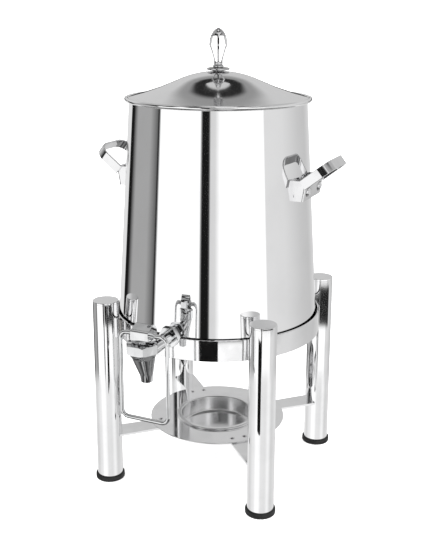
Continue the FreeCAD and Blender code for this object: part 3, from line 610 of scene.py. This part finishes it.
@dataclass
class Stand:
    """The four legs, the band, the cross arms and the fuel plate."""

    arm_ease: float = 0.0004
    plate_hole: float = 0.0472
    plate_ease: float = 0.0005
    cup_wall: float = 0.0008
    cup_radius: float = 0.0458
    cup_floor: float = 0.044
    cup_corner: float = 0.004
    lip_height: float = 0.0024
    segments: int = 256
    legs: list[Leg] = field(default_factory=lambda: [Leg(corner) for corner in CORNERS])

    def build(self) -> None:
        """Build the whole stand."""
        for leg in self.legs:
            leg.build()
        self.build_band()
        for corner in CORNERS:
            self.build_arm(corner)
        self.build_plate()
        self.build_cup()
        dress("seat_ring", SHEET_STEEL)
        dress("band_welds", WELD_STEEL)
        add_piece("rivet_heads", copied("plate_rivets"), SCREW_STEEL, Body.STAND, ["plate_rivets"])

    def build_band(self) -> None:
        """Build the band, notched for the faucet."""
        add_piece("seat_band", copied("support_band"), SHEET_STEEL, Body.STAND,
                  ["support_band"])

    def build_arm(self, corner: str) -> None:
        """Build a cross arm from a leg to the plate.

        Args:
            corner: the corner that the arm's leg stands at.
        """
        node = f"cross_arm_{corner}"
        mesh = copied(node)
        bmesh.ops.dissolve_limit(mesh, angle_limit=FLAT_TURN, verts=mesh.verts[:],
                                 edges=mesh.edges[:])
        ease_edges(mesh, self.arm_ease, least=50.0)
        add_piece(f"arm_{corner}", mesh, SHEET_STEEL, Body.STAND, [node])

    def build_plate(self) -> None:
        """Build the round plate under the urn."""
        low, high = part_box("fuel_plate")
        radius = (high.x - low.x) / 2.0
        plate = turned([
            Corner(self.plate_hole, low.z),
            Corner(radius, low.z, ease=self.plate_ease),
            Corner(radius, high.z, ease=self.plate_ease),
            Corner(self.plate_hole, high.z),
        ], closed=True, segments=self.segments)
        add_piece("burner_plate", plate, SHEET_STEEL, Body.STAND, ["fuel_plate"])

    def build_cup(self) -> None:
        """Build the cup for the fuel can, with its rolled lip."""
        low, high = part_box("fuel_well_cup")
        outer = self.cup_radius + self.cup_wall
        lip = (high.x - low.x) / 2.0
        bend = self.lip_height / 2.0
        seat = high.z - self.lip_height
        cup = turned([
            Corner(0.0, low.z),
            Corner(outer, low.z, ease=self.cup_corner),
            Corner(outer, seat),
            Corner(lip - bend, seat, bend=bend),
            Corner(lip, seat + bend, bend=bend),
            Corner(lip - bend, high.z),
            Corner(self.cup_radius + bend, high.z, bend=bend),
            Corner(self.cup_radius, seat + bend),
            Corner(self.cup_radius, self.cup_floor, ease=self.cup_corner - self.cup_wall),
            Corner(0.0, self.cup_floor),
        ], segments=self.segments)
        add_piece("fuel_cup", cup, WELL_STEEL, Body.STAND, ["fuel_well_cup"])


# --- urn --------------------------------------------------------------------

@dataclass
class Vessel:
    """The tapered urn with its bottom and its mouth."""

    wall: float = 0.001
    top_radius: float = 0.1063
    segments: int = 256

    def build(self) -> None:
        """Build the wall and dress the inner parts."""
        low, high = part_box("urn_shell")
        base = (high.x - low.x) / 2.0
        shell = turned([
            Corner(base - self.wall, low.z),
            Corner(base, low.z, ease=self.wall / 3.0),
            Corner(self.top_radius, high.z),
            Corner(self.top_radius - self.wall, high.z),
        ], closed=True, segments=self.segments)
        add_piece("urn_wall", shell, MIRROR_STEEL, Body.URN, ["urn_shell"])
        for node in ("urn_bottom", "mouth_ring"):
            dress(node, SATIN_STEEL)


@dataclass
class Handle:
    """A side handle: its bracket, its strap grip and its screws."""

    side: str
    turn: float
    root_x: float = 0.1242
    root_z: float = 0.3831
    rise: float = math.radians(38.0)
    reach: float = 0.0346
    tail: float = 0.006
    strap_wall: float = 0.0025
    strap_width: float = 0.012
    strap_bend: float = 0.019
    strap_ease: float = 0.0007
    half_width: float = 0.034
    bend_steps: int = 20

    def build(self) -> None:
        """Build the grip and the bracket, and dress what holds them."""
        self.build_grip()
        add_piece(f"bracket_{self.side}", copied(f"handle_bracket_{self.side}"), HANDLE_STEEL_PAINTED_SHADE,
                  Body.URN, [f"handle_bracket_{self.side}"])
        add_piece(f"dome_screws_{self.side}", copied(f"handle_screws_{self.side}"), SCREW_STEEL,
                  Body.URN, [f"handle_screws_{self.side}"])
        dress(f"handle_backing_{self.side}", SATIN_STEEL)
        dress(f"handle_nuts_{self.side}", SCREW_STEEL)

    def build_grip(self) -> None:
        """Bend a flat bar to the grip's U, then tilt it up from the bracket."""
        mesh = bmesh.new()
        middle = self.half_width - self.strap_wall / 2.0
        start = Matrix.Translation((-self.tail, -middle, 0.0)) @ Matrix.Diagonal(
            (1.0, self.strap_wall, self.strap_width, 1.0))
        bmesh.ops.create_grid(mesh, x_segments=1, y_segments=1, size=0.5,
                              matrix=start @ Matrix.Rotation(math.pi / 2.0, 4, "Y"))
        corner_edges = mesh.verts[:]
        bmesh.ops.bevel(mesh, geom=corner_edges, offset=self.strap_ease, offset_type="OFFSET",
                        segments=EASE_STEPS, profile=0.5, affect="VERTICES", material=-1)
        sweep = Sweep(mesh)
        straight = self.reach - self.strap_bend + self.tail
        sweep.run(Vector((straight, 0.0, 0.0)))
        sweep.bend(Vector((self.reach - self.strap_bend, -self.half_width + self.strap_bend, 0.0)),
                   UP, math.pi / 2.0, self.bend_steps)
        sweep.run(Vector((0.0, 2.0 * (self.half_width - self.strap_bend), 0.0)))
        sweep.bend(Vector((self.reach - self.strap_bend, self.half_width - self.strap_bend, 0.0)),
                   UP, math.pi / 2.0, self.bend_steps)
        sweep.run(Vector((-straight, 0.0, 0.0)))
        sweep.cap()
        place = (Matrix.Rotation(self.turn, 4, "Z")
                 @ Matrix.Translation((self.root_x, 0.0, self.root_z))
                 @ Matrix.Rotation(-self.rise, 4, "Y"))
        add_piece(f"strap_grip_{self.side}", moved(mesh, place), HANDLE_STEEL_PAINTED_SHADE, Body.URN,
                  [f"handle_grip_{self.side}"])


class Sweep:
    """A section carried along runs and bends, from a face in the mesh."""

    def __init__(self, mesh: bmesh.types.BMesh) -> None:
        """Start from the mesh's own faces.

        Args:
            mesh: a mesh that holds the section's face.
        """
        self.mesh = mesh
        self.edges = [edge for edge in mesh.edges if edge.is_boundary]

    def run(self, way: Vector) -> None:
        """Carry the section straight on.

        Args:
            way: how far and which way.
        """
        grown = bmesh.ops.extrude_edge_only(self.mesh, edges=self.edges)["geom"]
        bmesh.ops.translate(self.mesh, vec=way,
                            verts=[item for item in grown if isinstance(item, bmesh.types.BMVert)])
        made = {item for item in grown if isinstance(item, bmesh.types.BMEdge)}
        self.edges = [edge for edge in made if edge.is_boundary]

    def bend(self, centre: Vector, axis: Vector, angle: float, steps: int) -> None:
        """Carry the section round a bend.

        Args:
            centre: a point on the bend's axis.
            axis: the bend's axis.
            angle: how far it turns.
            steps: sections along the bend.
        """
        swept = bmesh.ops.spin(self.mesh, geom=self.edges, cent=centre, axis=axis, angle=angle,
                               steps=steps, use_merge=False)
        self.edges = [item for item in swept["geom_last"] if isinstance(item, bmesh.types.BMEdge)]

    def cap(self) -> None:
        """Close the last section and merge what meets."""
        bmesh.ops.contextual_create(self.mesh, geom=self.edges)
        close_up(self.mesh)


# --- faucet -----------------------------------------------------------------

@dataclass
class Faucet:
    """The push-back faucet: casting, nuts, stem and the lever's hoop."""

    nut_ease: float = 0.0005
    hoop_half_width: float = 0.0285
    hoop_low: float = 0.137
    pivot_height: float = 0.2358
    rod_radius: float = 0.0024
    hoop_bend: float = 0.008
    valve_distance: float = 0.192
    hub_ease: float = 0.0009
    crease: float = 28.0
    ring_steps: int = 24
    bend_steps: int = 14

    def build(self) -> None:
        """Build the faucet and its lever."""
        add_piece("faucet_casting", copied("faucet_body"), CHROME, Body.URN, ["faucet_body"],
                  sharp=self.crease)
        for node, name in (("faucet_hex_nut", "shank_nut"), ("faucet_bonnet", "valve_bonnet")):
            self.build_eased(node, name, self.nut_ease, Body.URN)
        add_piece("shank_washer", copied("faucet_washer"), CHROME, Body.URN, ["faucet_washer"])
        for node in ("faucet_shank", "faucet_inner_nut", "faucet_inner_washer"):
            dress(node, SATIN_STEEL)
        for node in ("faucet_gasket", "faucet_inner_gasket"):
            dress(node, SEAL_RUBBER)
        dress("faucet_stem", SATIN_STEEL)
        dress("faucet_seat_cup", SEAL_RUBBER)
        dress("faucet_spring", SATIN_STEEL)
        self.build_hoop()
        self.build_eased("lever_hub", "lever_block", self.hub_ease, Body.LEVER)
        add_piece("rod_collars", copied("lever_collars"), CHROME, Body.LEVER, ["lever_collars"])
        dress("lever_set_screw", SCREW_STEEL)

    def build_eased(self, node: str, name: str, ease: float, body: Body) -> None:
        """Copy a CAD node and round its edges.

        Args:
            node: the node's name.
            name: the piece's name.
            ease: how far its edges are rounded back.
            body: the body that it rides on.
        """
        mesh = copied(node)
        bmesh.ops.dissolve_limit(mesh, angle_limit=FLAT_TURN, verts=mesh.verts[:],
                                 edges=mesh.edges[:])
        ease_edges(mesh, ease, least=self.crease)
        add_piece(name, mesh, CHROME, body, [node])

    def build_hoop(self) -> None:
        """Bend the lever's round rod into its closed hoop."""
        mesh = bmesh.new()
        half = self.hoop_half_width
        bend = self.hoop_bend
        top = self.pivot_height
        low = self.hoop_low
        start = Matrix.Translation((0.0, -self.valve_distance, top)) @ Matrix.Rotation(
            math.pi / 2.0, 4, "Y")
        bmesh.ops.create_circle(mesh, cap_ends=False, segments=self.ring_steps,
                                radius=self.rod_radius, matrix=start)
        sweep = Sweep(mesh)
        sweep.edges = mesh.edges[:]
        side = half - bend
        rise = top - low - 2.0 * bend
        depth = -self.valve_distance
        across = Vector((0.0, 1.0, 0.0))
        quarter = math.pi / 2.0
        sweep.run(Vector((side, 0.0, 0.0)))
        sweep.bend(Vector((side, depth, top - bend)), across, quarter, self.bend_steps)
        sweep.run(Vector((0.0, 0.0, -rise)))
        sweep.bend(Vector((side, depth, low + bend)), across, quarter, self.bend_steps)
        sweep.run(Vector((-2.0 * side, 0.0, 0.0)))
        sweep.bend(Vector((-side, depth, low + bend)), across, quarter, self.bend_steps)
        sweep.run(Vector((0.0, 0.0, rise)))
        sweep.bend(Vector((-side, depth, top - bend)), across, quarter, self.bend_steps)
        sweep.run(Vector((side, 0.0, 0.0)))
        close_up(mesh)
        add_piece("push_hoop", mesh, CHROME, Body.LEVER, ["lever_hoop"])


# --- lid --------------------------------------------------------------------

@dataclass
class Lid:
    """The domed lid with its rolled rim and its knob."""

    hole: float = 0.002
    sheet: float = 0.0009
    crown_edge: float = 0.050
    crown_height: float = 0.4905
    crown_bend: float = 0.1191
    apex: float = 0.5015
    flare_edge: float = 0.1075
    flare_height: float = 0.471
    flare_bend: float = 0.2862
    bead_radius: float = 0.0027
    bead_height: float = 0.4693
    bead_steps: int = 32
    disc_rounding: float = 0.45
    segments: int = 256
    cage_voxel: float = 0.0004
    cage_smoothing: int = 6

    def build(self) -> None:
        """Build the lid and its knob."""
        self.build_dome()
        dress("lid_skirt", SATIN_STEEL)
        for node, name in (("knob_neck", "knob_stem"), ("knob_disc", "knob_plate"),
                           ("knob_ring", "knob_collar")):
            self.build_disc(node, name)
        self.build_cage()
        for node in ("knob_stud", "knob_washer", "knob_nut"):
            dress(node, SCREW_STEEL)

    def build_dome(self) -> None:
        """Build the spun dome and the bead round its rim."""
        sheet = self.sheet
        dome = turned([
            Corner(self.hole, self.apex - sheet, bend=-self.crown_bend),
            Corner(self.crown_edge, self.crown_height - sheet, bend=self.flare_bend),
            Corner(self.flare_edge, self.flare_height - sheet),
            Corner(self.flare_edge, self.flare_height, bend=-self.flare_bend),
            Corner(self.crown_edge, self.crown_height, bend=self.crown_bend),
            Corner(self.hole, self.apex),
        ], closed=True, segments=self.segments)
        low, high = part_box("lid_dome")
        rim = (high.x - low.x) / 2.0 - self.bead_radius
        bead = bmesh.new()
        place = Matrix.Translation((rim, 0.0, self.bead_height)) @ Matrix.Rotation(
            math.pi / 2.0, 4, "X")
        bmesh.ops.create_circle(bead, cap_ends=False, segments=self.bead_steps,
                                radius=self.bead_radius, matrix=place)
        bmesh.ops.spin(bead, geom=bead.verts[:] + bead.edges[:], cent=(0.0, 0.0, 0.0), axis=UP,
                       angle=math.tau, steps=self.segments, use_merge=True)
        close_up(bead)
        add_piece("lid_shell", joined([dome, bead]), LID_STEEL, Body.LID, ["lid_dome"])

    def build_disc(self, node: str, name: str) -> None:
        """Build a round plate of the knob's foot.

        Args:
            node: its CAD node.
            name: the piece's name.
        """
        low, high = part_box(node)
        radius = (high.x - low.x) / 2.0
        bend = (high.z - low.z) * self.disc_rounding
        disc = turned([
            Corner(self.hole, low.z),
            Corner(radius - bend, low.z, bend=bend),
            Corner(radius, low.z + bend),
            Corner(radius, high.z - bend, bend=bend),
            Corner(radius - bend, high.z),
            Corner(self.hole, high.z),
        ], closed=True)
        add_piece(name, disc, KNOB_STEEL, Body.LID, [node])

    def build_cage(self) -> None:
        """Build the cast cage with softened ribs."""
        piece = add_piece("knob_bud", copied("knob_cage"), KNOB_STEEL, Body.LID, ["knob_cage"],
                          sharp=180.0)
        blended = piece.modifiers.new("cast", "REMESH")
        blended.mode = "VOXEL"
        blended.voxel_size = self.cage_voxel
        blended.use_smooth_shade = True
        softened = piece.modifiers.new("soft ribs", "SMOOTH")
        softened.factor = 0.5
        softened.iterations = self.cage_smoothing


# --- studio -----------------------------------------------------------------

@dataclass(frozen=True)
class Band:
    """A run of the studio's walls, from an azimuth in degrees on, and its brightness."""

    start: float
    level: float


class Fade(Enum):
    """How a layer's bands meet."""

    HARD = "CONSTANT"
    STRAIGHT = "LINEAR"
    SOFT = "EASE"


@dataclass(frozen=True)
class Layer:
    """A layer of the studio's surroundings, from a height of the sky on.

    Attributes:
        start: sine of the elevation where it begins.
        blend: how far, as a sine, it fades into the layer below.
        fade: how its bands meet.
        bands: the bands round it.
    """

    start: float
    blend: float
    fade: Fade
    bands: tuple[Band, ...]


LEFT_BANDS = (
    Band(-180.0, 0.39), Band(-158.0, 0.39), Band(-146.0, 0.14), Band(-144.6, 0.018),
    Band(-142.2, 0.018), Band(-141.8, 1.15))
CENTRE_BANDS = (
    Band(-86.2, 1.15), Band(-85.6, 0.01), Band(-76.0, 0.01), Band(-75.4, 0.70),
    Band(-69.0, 0.74), Band(-63.0, 1.15))
SIDE_BANDS = (Band(-8.4, 1.15), Band(-8.0, 0.78), Band(20.0, 0.75), Band(50.0, 0.61))
REAR_BANDS = (
    Band(70.0, 0.57), Band(95.0, 0.73), Band(112.0, 0.78), Band(153.3, 0.78),
    Band(153.7, 0.01), Band(163.5, 0.01), Band(175.0, 0.39), Band(180.0, 0.39))
LAYERS = (
    Layer(-1.0, 0.0, Fade.SOFT, (
        Band(-180.0, 0.25), Band(-125.0, 0.04), Band(-100.0, 0.50), Band(-86.0, 0.62),
        Band(-74.0, 0.05), Band(-52.0, 0.35), Band(-30.0, 0.04), Band(30.0, 0.30),
        Band(114.0, 0.22), Band(150.0, 0.05), Band(180.0, 0.25))),
    Layer(-0.58, 0.04, Fade.SOFT, (
        Band(-180.0, 0.72), Band(-135.0, 0.90), Band(-108.0, 1.15), Band(-88.0, 1.10),
        Band(-70.0, 0.86), Band(-40.0, 0.84), Band(-12.0, 1.00), Band(20.0, 0.72),
        Band(70.0, 0.80), Band(115.0, 0.60), Band(150.0, 0.90), Band(180.0, 0.72))),
    Layer(-0.40, 0.02, Fade.STRAIGHT, LEFT_BANDS + (
        Band(-83.0, 1.15), Band(-82.6, 0.01), Band(-75.3, 0.01), Band(-74.8, 1.15))
        + SIDE_BANDS + REAR_BANDS),
    Layer(-0.342, 0.006, Fade.STRAIGHT, LEFT_BANDS + (
        Band(-86.2, 1.15), Band(-85.6, 0.01), Band(-76.0, 0.01), Band(-75.4, 1.10),
        Band(-73.0, 1.10), Band(-71.0, 0.02), Band(18.0, 0.02), Band(22.0, 0.75),
        Band(50.0, 0.61)) + REAR_BANDS),
    Layer(-0.30, 0.005, Fade.STRAIGHT, LEFT_BANDS + CENTRE_BANDS + SIDE_BANDS + REAR_BANDS),
    Layer(-0.05, 0.005, Fade.STRAIGHT, LEFT_BANDS + CENTRE_BANDS + SIDE_BANDS + (
        Band(72.0, 0.57), Band(76.0, 0.02), Band(163.5, 0.02), Band(175.0, 0.39),
        Band(180.0, 0.39))),
    Layer(0.06, 0.02, Fade.SOFT, (
        Band(-180.0, 0.45), Band(-150.0, 0.02), Band(-126.0, 0.02), Band(-112.0, 1.1),
        Band(-98.0, 0.02), Band(-50.0, 0.02), Band(-36.0, 1.1), Band(-22.0, 0.55),
        Band(40.0, 0.68), Band(114.0, 0.60), Band(170.0, 0.68),
        Band(180.0, 0.45))),
    Layer(0.45, 0.15, Fade.HARD, (
        Band(-180.0, 0.50), Band(-140.0, 0.02), Band(-70.0, 1.1), Band(-40.0, 0.50),
        Band(98.0, 0.30), Band(130.0, 0.50))),
    Layer(0.62, 0.06, Fade.HARD, (
        Band(-180.0, 0.50), Band(-140.0, 0.02), Band(-70.0, 1.1), Band(-40.0, 0.02),
        Band(10.0, 0.50), Band(96.0, 0.02), Band(132.0, 0.50))),
    Layer(0.735, 0.01, Fade.HARD, (
        Band(-180.0, 0.50), Band(-90.0, 1.0), Band(0.0, 0.50), Band(100.0, 0.02),
        Band(105.0, 0.60), Band(123.0, 0.02), Band(128.0, 0.50))),
    Layer(0.86, 0.03, Fade.HARD, (Band(-180.0, 0.56), Band(-90.0, 1.0), Band(0.0, 0.56))),
    Layer(0.90, 0.02, Fade.HARD, (Band(-180.0, 0.03),)),
    Layer(0.97, 0.01, Fade.HARD, (Band(-180.0, 1.0),)),
)


@dataclass
class Studio:
    """The banded surroundings, a dark flag, the floor, the light and the camera."""

    position: tuple[float, float, float] = (0.44954, -0.99323, 0.57871)
    yaw: float = math.radians(24.534)
    pitch: float = math.radians(14.587)
    roll: float = math.radians(0.134)
    lens: float = 60.986
    shift: float = -0.0531
    floor_radius: float = 2.0
    floor_level: float = 0.92
    floor_glow: float = 0.35
    diffuse_level: float = 2.0
    flag_level: float = 0.005
    flag_start: tuple[float, float] = (0.048, -0.335)
    flag_end: tuple[float, float] = (0.150, -0.325)
    flag_height: float = 0.138
    lamp_power: float = 14.0
    lamp_width: float = 1.8
    lamp_place: tuple[float, float, float] = (0.4, -0.5, 2.0)
    lamp_tilt: tuple[float, float, float] = (math.radians(14.0), math.radians(11.0), 0.0)

    def build(self) -> None:
        """Set up the surroundings, the floor, the flag, the light and the camera."""
        self.build_world()
        self.build_floor()
        self.build_flag("low_flag", self.flag_start, self.flag_end, self.flag_height)
        self.build_light()
        self.build_camera()
        bpy.context.scene.view_settings.view_transform = "Standard"

    def build_world(self) -> None:
        """Build the surroundings, whose layers only reflections see."""
        world = bpy.data.worlds.new("studio")
        bpy.context.scene.world = world
        world.use_nodes = True
        tree = world.node_tree
        tree.nodes.clear()
        place = tree.nodes.new("ShaderNodeTexCoord")
        split = tree.nodes.new("ShaderNodeSeparateXYZ")
        tree.links.new(place.outputs["Generated"], split.inputs[0])
        azimuth = link_maths(tree, "ARCTAN2", split.outputs["Y"], split.outputs["X"])
        share = link_maths(tree, "ADD", link_maths(tree, "DIVIDE", azimuth, math.tau), 0.5)
        seen_colour = None
        for layer in LAYERS:
            colour = self.build_layer(tree, layer, share)
            if seen_colour is not None:
                colour = self.lay_over(tree, layer, split.outputs["Z"], seen_colour, colour)
            seen_colour = colour

        seen = tree.nodes.new("ShaderNodeLightPath")
        room = tree.nodes.new("ShaderNodeBackground")
        tree.links.new(seen_colour, room.inputs["Color"])
        plain = tree.nodes.new("ShaderNodeBackground")
        plain.inputs["Color"].default_value = (1.0, 1.0, 1.0, 1.0)
        plain.inputs["Strength"].default_value = self.diffuse_level
        chosen = tree.nodes.new("ShaderNodeMixShader")
        tree.links.new(seen.outputs["Is Glossy Ray"], chosen.inputs["Fac"])
        tree.links.new(plain.outputs[0], chosen.inputs[1])
        tree.links.new(room.outputs[0], chosen.inputs[2])
        result = tree.nodes.new("ShaderNodeOutputWorld")
        tree.links.new(chosen.outputs[0], result.inputs["Surface"])

    def build_layer(self, tree: bpy.types.NodeTree, layer: Layer,
                    share: bpy.types.NodeSocket) -> bpy.types.NodeSocket:
        """Build one layer's bands.

        Args:
            tree: the world's nodes.
            layer: the layer.
            share: the azimuth, from 0 to 1.

        Returns:
            The layer's colour.
        """
        ramp = tree.nodes.new("ShaderNodeValToRGB")
        ramp.color_ramp.interpolation = layer.fade.value
        stops = ramp.color_ramp.elements
        while len(stops) > 1:
            stops.remove(stops[-1])
        for index, band in enumerate(layer.bands):
            spot = (band.start + 180.0) / 360.0
            stop = stops[0] if index == 0 else stops.new(spot)
            stop.position = spot
            stop.color = (band.level, band.level, band.level, 1.0)
        tree.links.new(share, ramp.inputs["Fac"])
        return ramp.outputs["Color"]

    def lay_over(self, tree: bpy.types.NodeTree, layer: Layer, height: bpy.types.NodeSocket,
                 under: bpy.types.NodeSocket, over: bpy.types.NodeSocket) -> bpy.types.NodeSocket:
        """Lay a layer over those below it.

        Args:
            tree: the world's nodes.
            layer: the layer to lay over.
            height: the sine of the elevation.
            under: the colour of what is below.
            over: the layer's colour.

        Returns:
            The colour of both.
        """
        rise = tree.nodes.new("ShaderNodeMapRange")
        rise.interpolation_type = "SMOOTHSTEP"
        rise.inputs["From Min"].default_value = layer.start
        rise.inputs["From Max"].default_value = layer.start + layer.blend
        tree.links.new(height, rise.inputs["Value"])
        return mix_colours(tree, rise.outputs["Result"], under, over)

    def matte(self, name: str, level: float) -> bpy.types.Material:
        """Make a plain matte material of one grey.

        Args:
            name: the material's name.
            level: its grey.

        Returns:
            The material.
        """
        made = bpy.data.materials.new(name)
        made.use_nodes = True
        shader = next(node for node in made.node_tree.nodes if node.type == "BSDF_PRINCIPLED")
        shader.inputs["Base Color"].default_value = (level, level, level, 1.0)
        shader.inputs["Roughness"].default_value = 1.0
        shader.inputs["Specular IOR Level"].default_value = 0.0
        return made

    def add_stage(self, name: str, mesh: bmesh.types.BMesh,
                  material: bpy.types.Material) -> bpy.types.Object:
        """Add an object that isn't part of the urn.

        Args:
            name: the object's name.
            mesh: its mesh, which is used up.
            material: its material.

        Returns:
            The object.
        """
        data = bpy.data.meshes.new(name)
        mesh.to_mesh(data)
        mesh.free()
        data.materials.append(material)
        item = bpy.data.objects.new(name, data)
        bpy.context.scene.collection.objects.link(item)
        return item

    def build_floor(self) -> None:
        """Build the pale floor."""
        mesh = bmesh.new()
        bmesh.ops.create_circle(mesh, cap_ends=True, segments=96, radius=self.floor_radius)
        pale = self.matte("pale_floor", self.floor_level)
        shader = next(node for node in pale.node_tree.nodes if node.type == "BSDF_PRINCIPLED")
        shader.inputs["Emission Color"].default_value = (1.0, 1.0, 1.0, 1.0)
        shader.inputs["Emission Strength"].default_value = self.floor_glow
        floor = self.add_stage("floor", mesh, pale)
        floor.visible_glossy = False

    def build_flag(self, name: str, start: tuple[float, float], end: tuple[float, float],
                   height: float) -> None:
        """Stand a dark flag on the floor that only reflections see.

        Args:
            name: the flag's name.
            start: one end of its foot.
            end: the other end of its foot.
            height: its height.
        """
        mesh = bmesh.new()
        ends = [mesh.verts.new((*start, 0.0)), mesh.verts.new((*end, 0.0))]
        foot = bmesh.ops.contextual_create(mesh, geom=ends)["edges"]
        grown = bmesh.ops.extrude_edge_only(mesh, edges=foot)["geom"]
        bmesh.ops.translate(mesh, vec=UP * height,
                            verts=[item for item in grown if isinstance(item, bmesh.types.BMVert)])
        flag = self.add_stage(name, mesh, self.matte(f"{name}_black", self.flag_level))
        flag.visible_camera = False
        flag.visible_diffuse = False
        flag.visible_shadow = False

    def build_light(self) -> None:
        """Hang a wide soft light over the urn."""
        lamp = bpy.data.lights.new("overhead_softbox", "AREA")
        lamp.energy = self.lamp_power
        lamp.size = self.lamp_width
        light = bpy.data.objects.new("overhead_softbox", lamp)
        light.location = self.lamp_place
        light.rotation_euler = self.lamp_tilt
        light.visible_glossy = False
        bpy.context.scene.collection.objects.link(light)

    def build_camera(self) -> None:
        """Set the camera."""
        data = bpy.data.cameras.new("camera")
        data.lens = self.lens
        data.shift_y = self.shift
        camera = bpy.data.objects.new("camera", data)
        camera.matrix_world = (Matrix.Translation(self.position)
                               @ Matrix.Rotation(self.yaw, 4, "Z")
                               @ Matrix.Rotation(math.pi / 2.0 - self.pitch, 4, "X")
                               @ Matrix.Rotation(self.roll, 4, "Z"))
        bpy.context.scene.collection.objects.link(camera)
        bpy.context.scene.camera = camera


def main() -> None:
    """Build the urn's pieces in order and the studio round them."""
    logging.basicConfig(level=logging.INFO)
    make_handled_surface()
    Stand().build()
    Vessel().build()
    for side, turn in SIDES.items():
        Handle(side, turn).build()
    Faucet().build()
    Lid().build()
    Studio().build()
    bpy.context.view_layer.update()


if __name__ == "__main__":
    main()
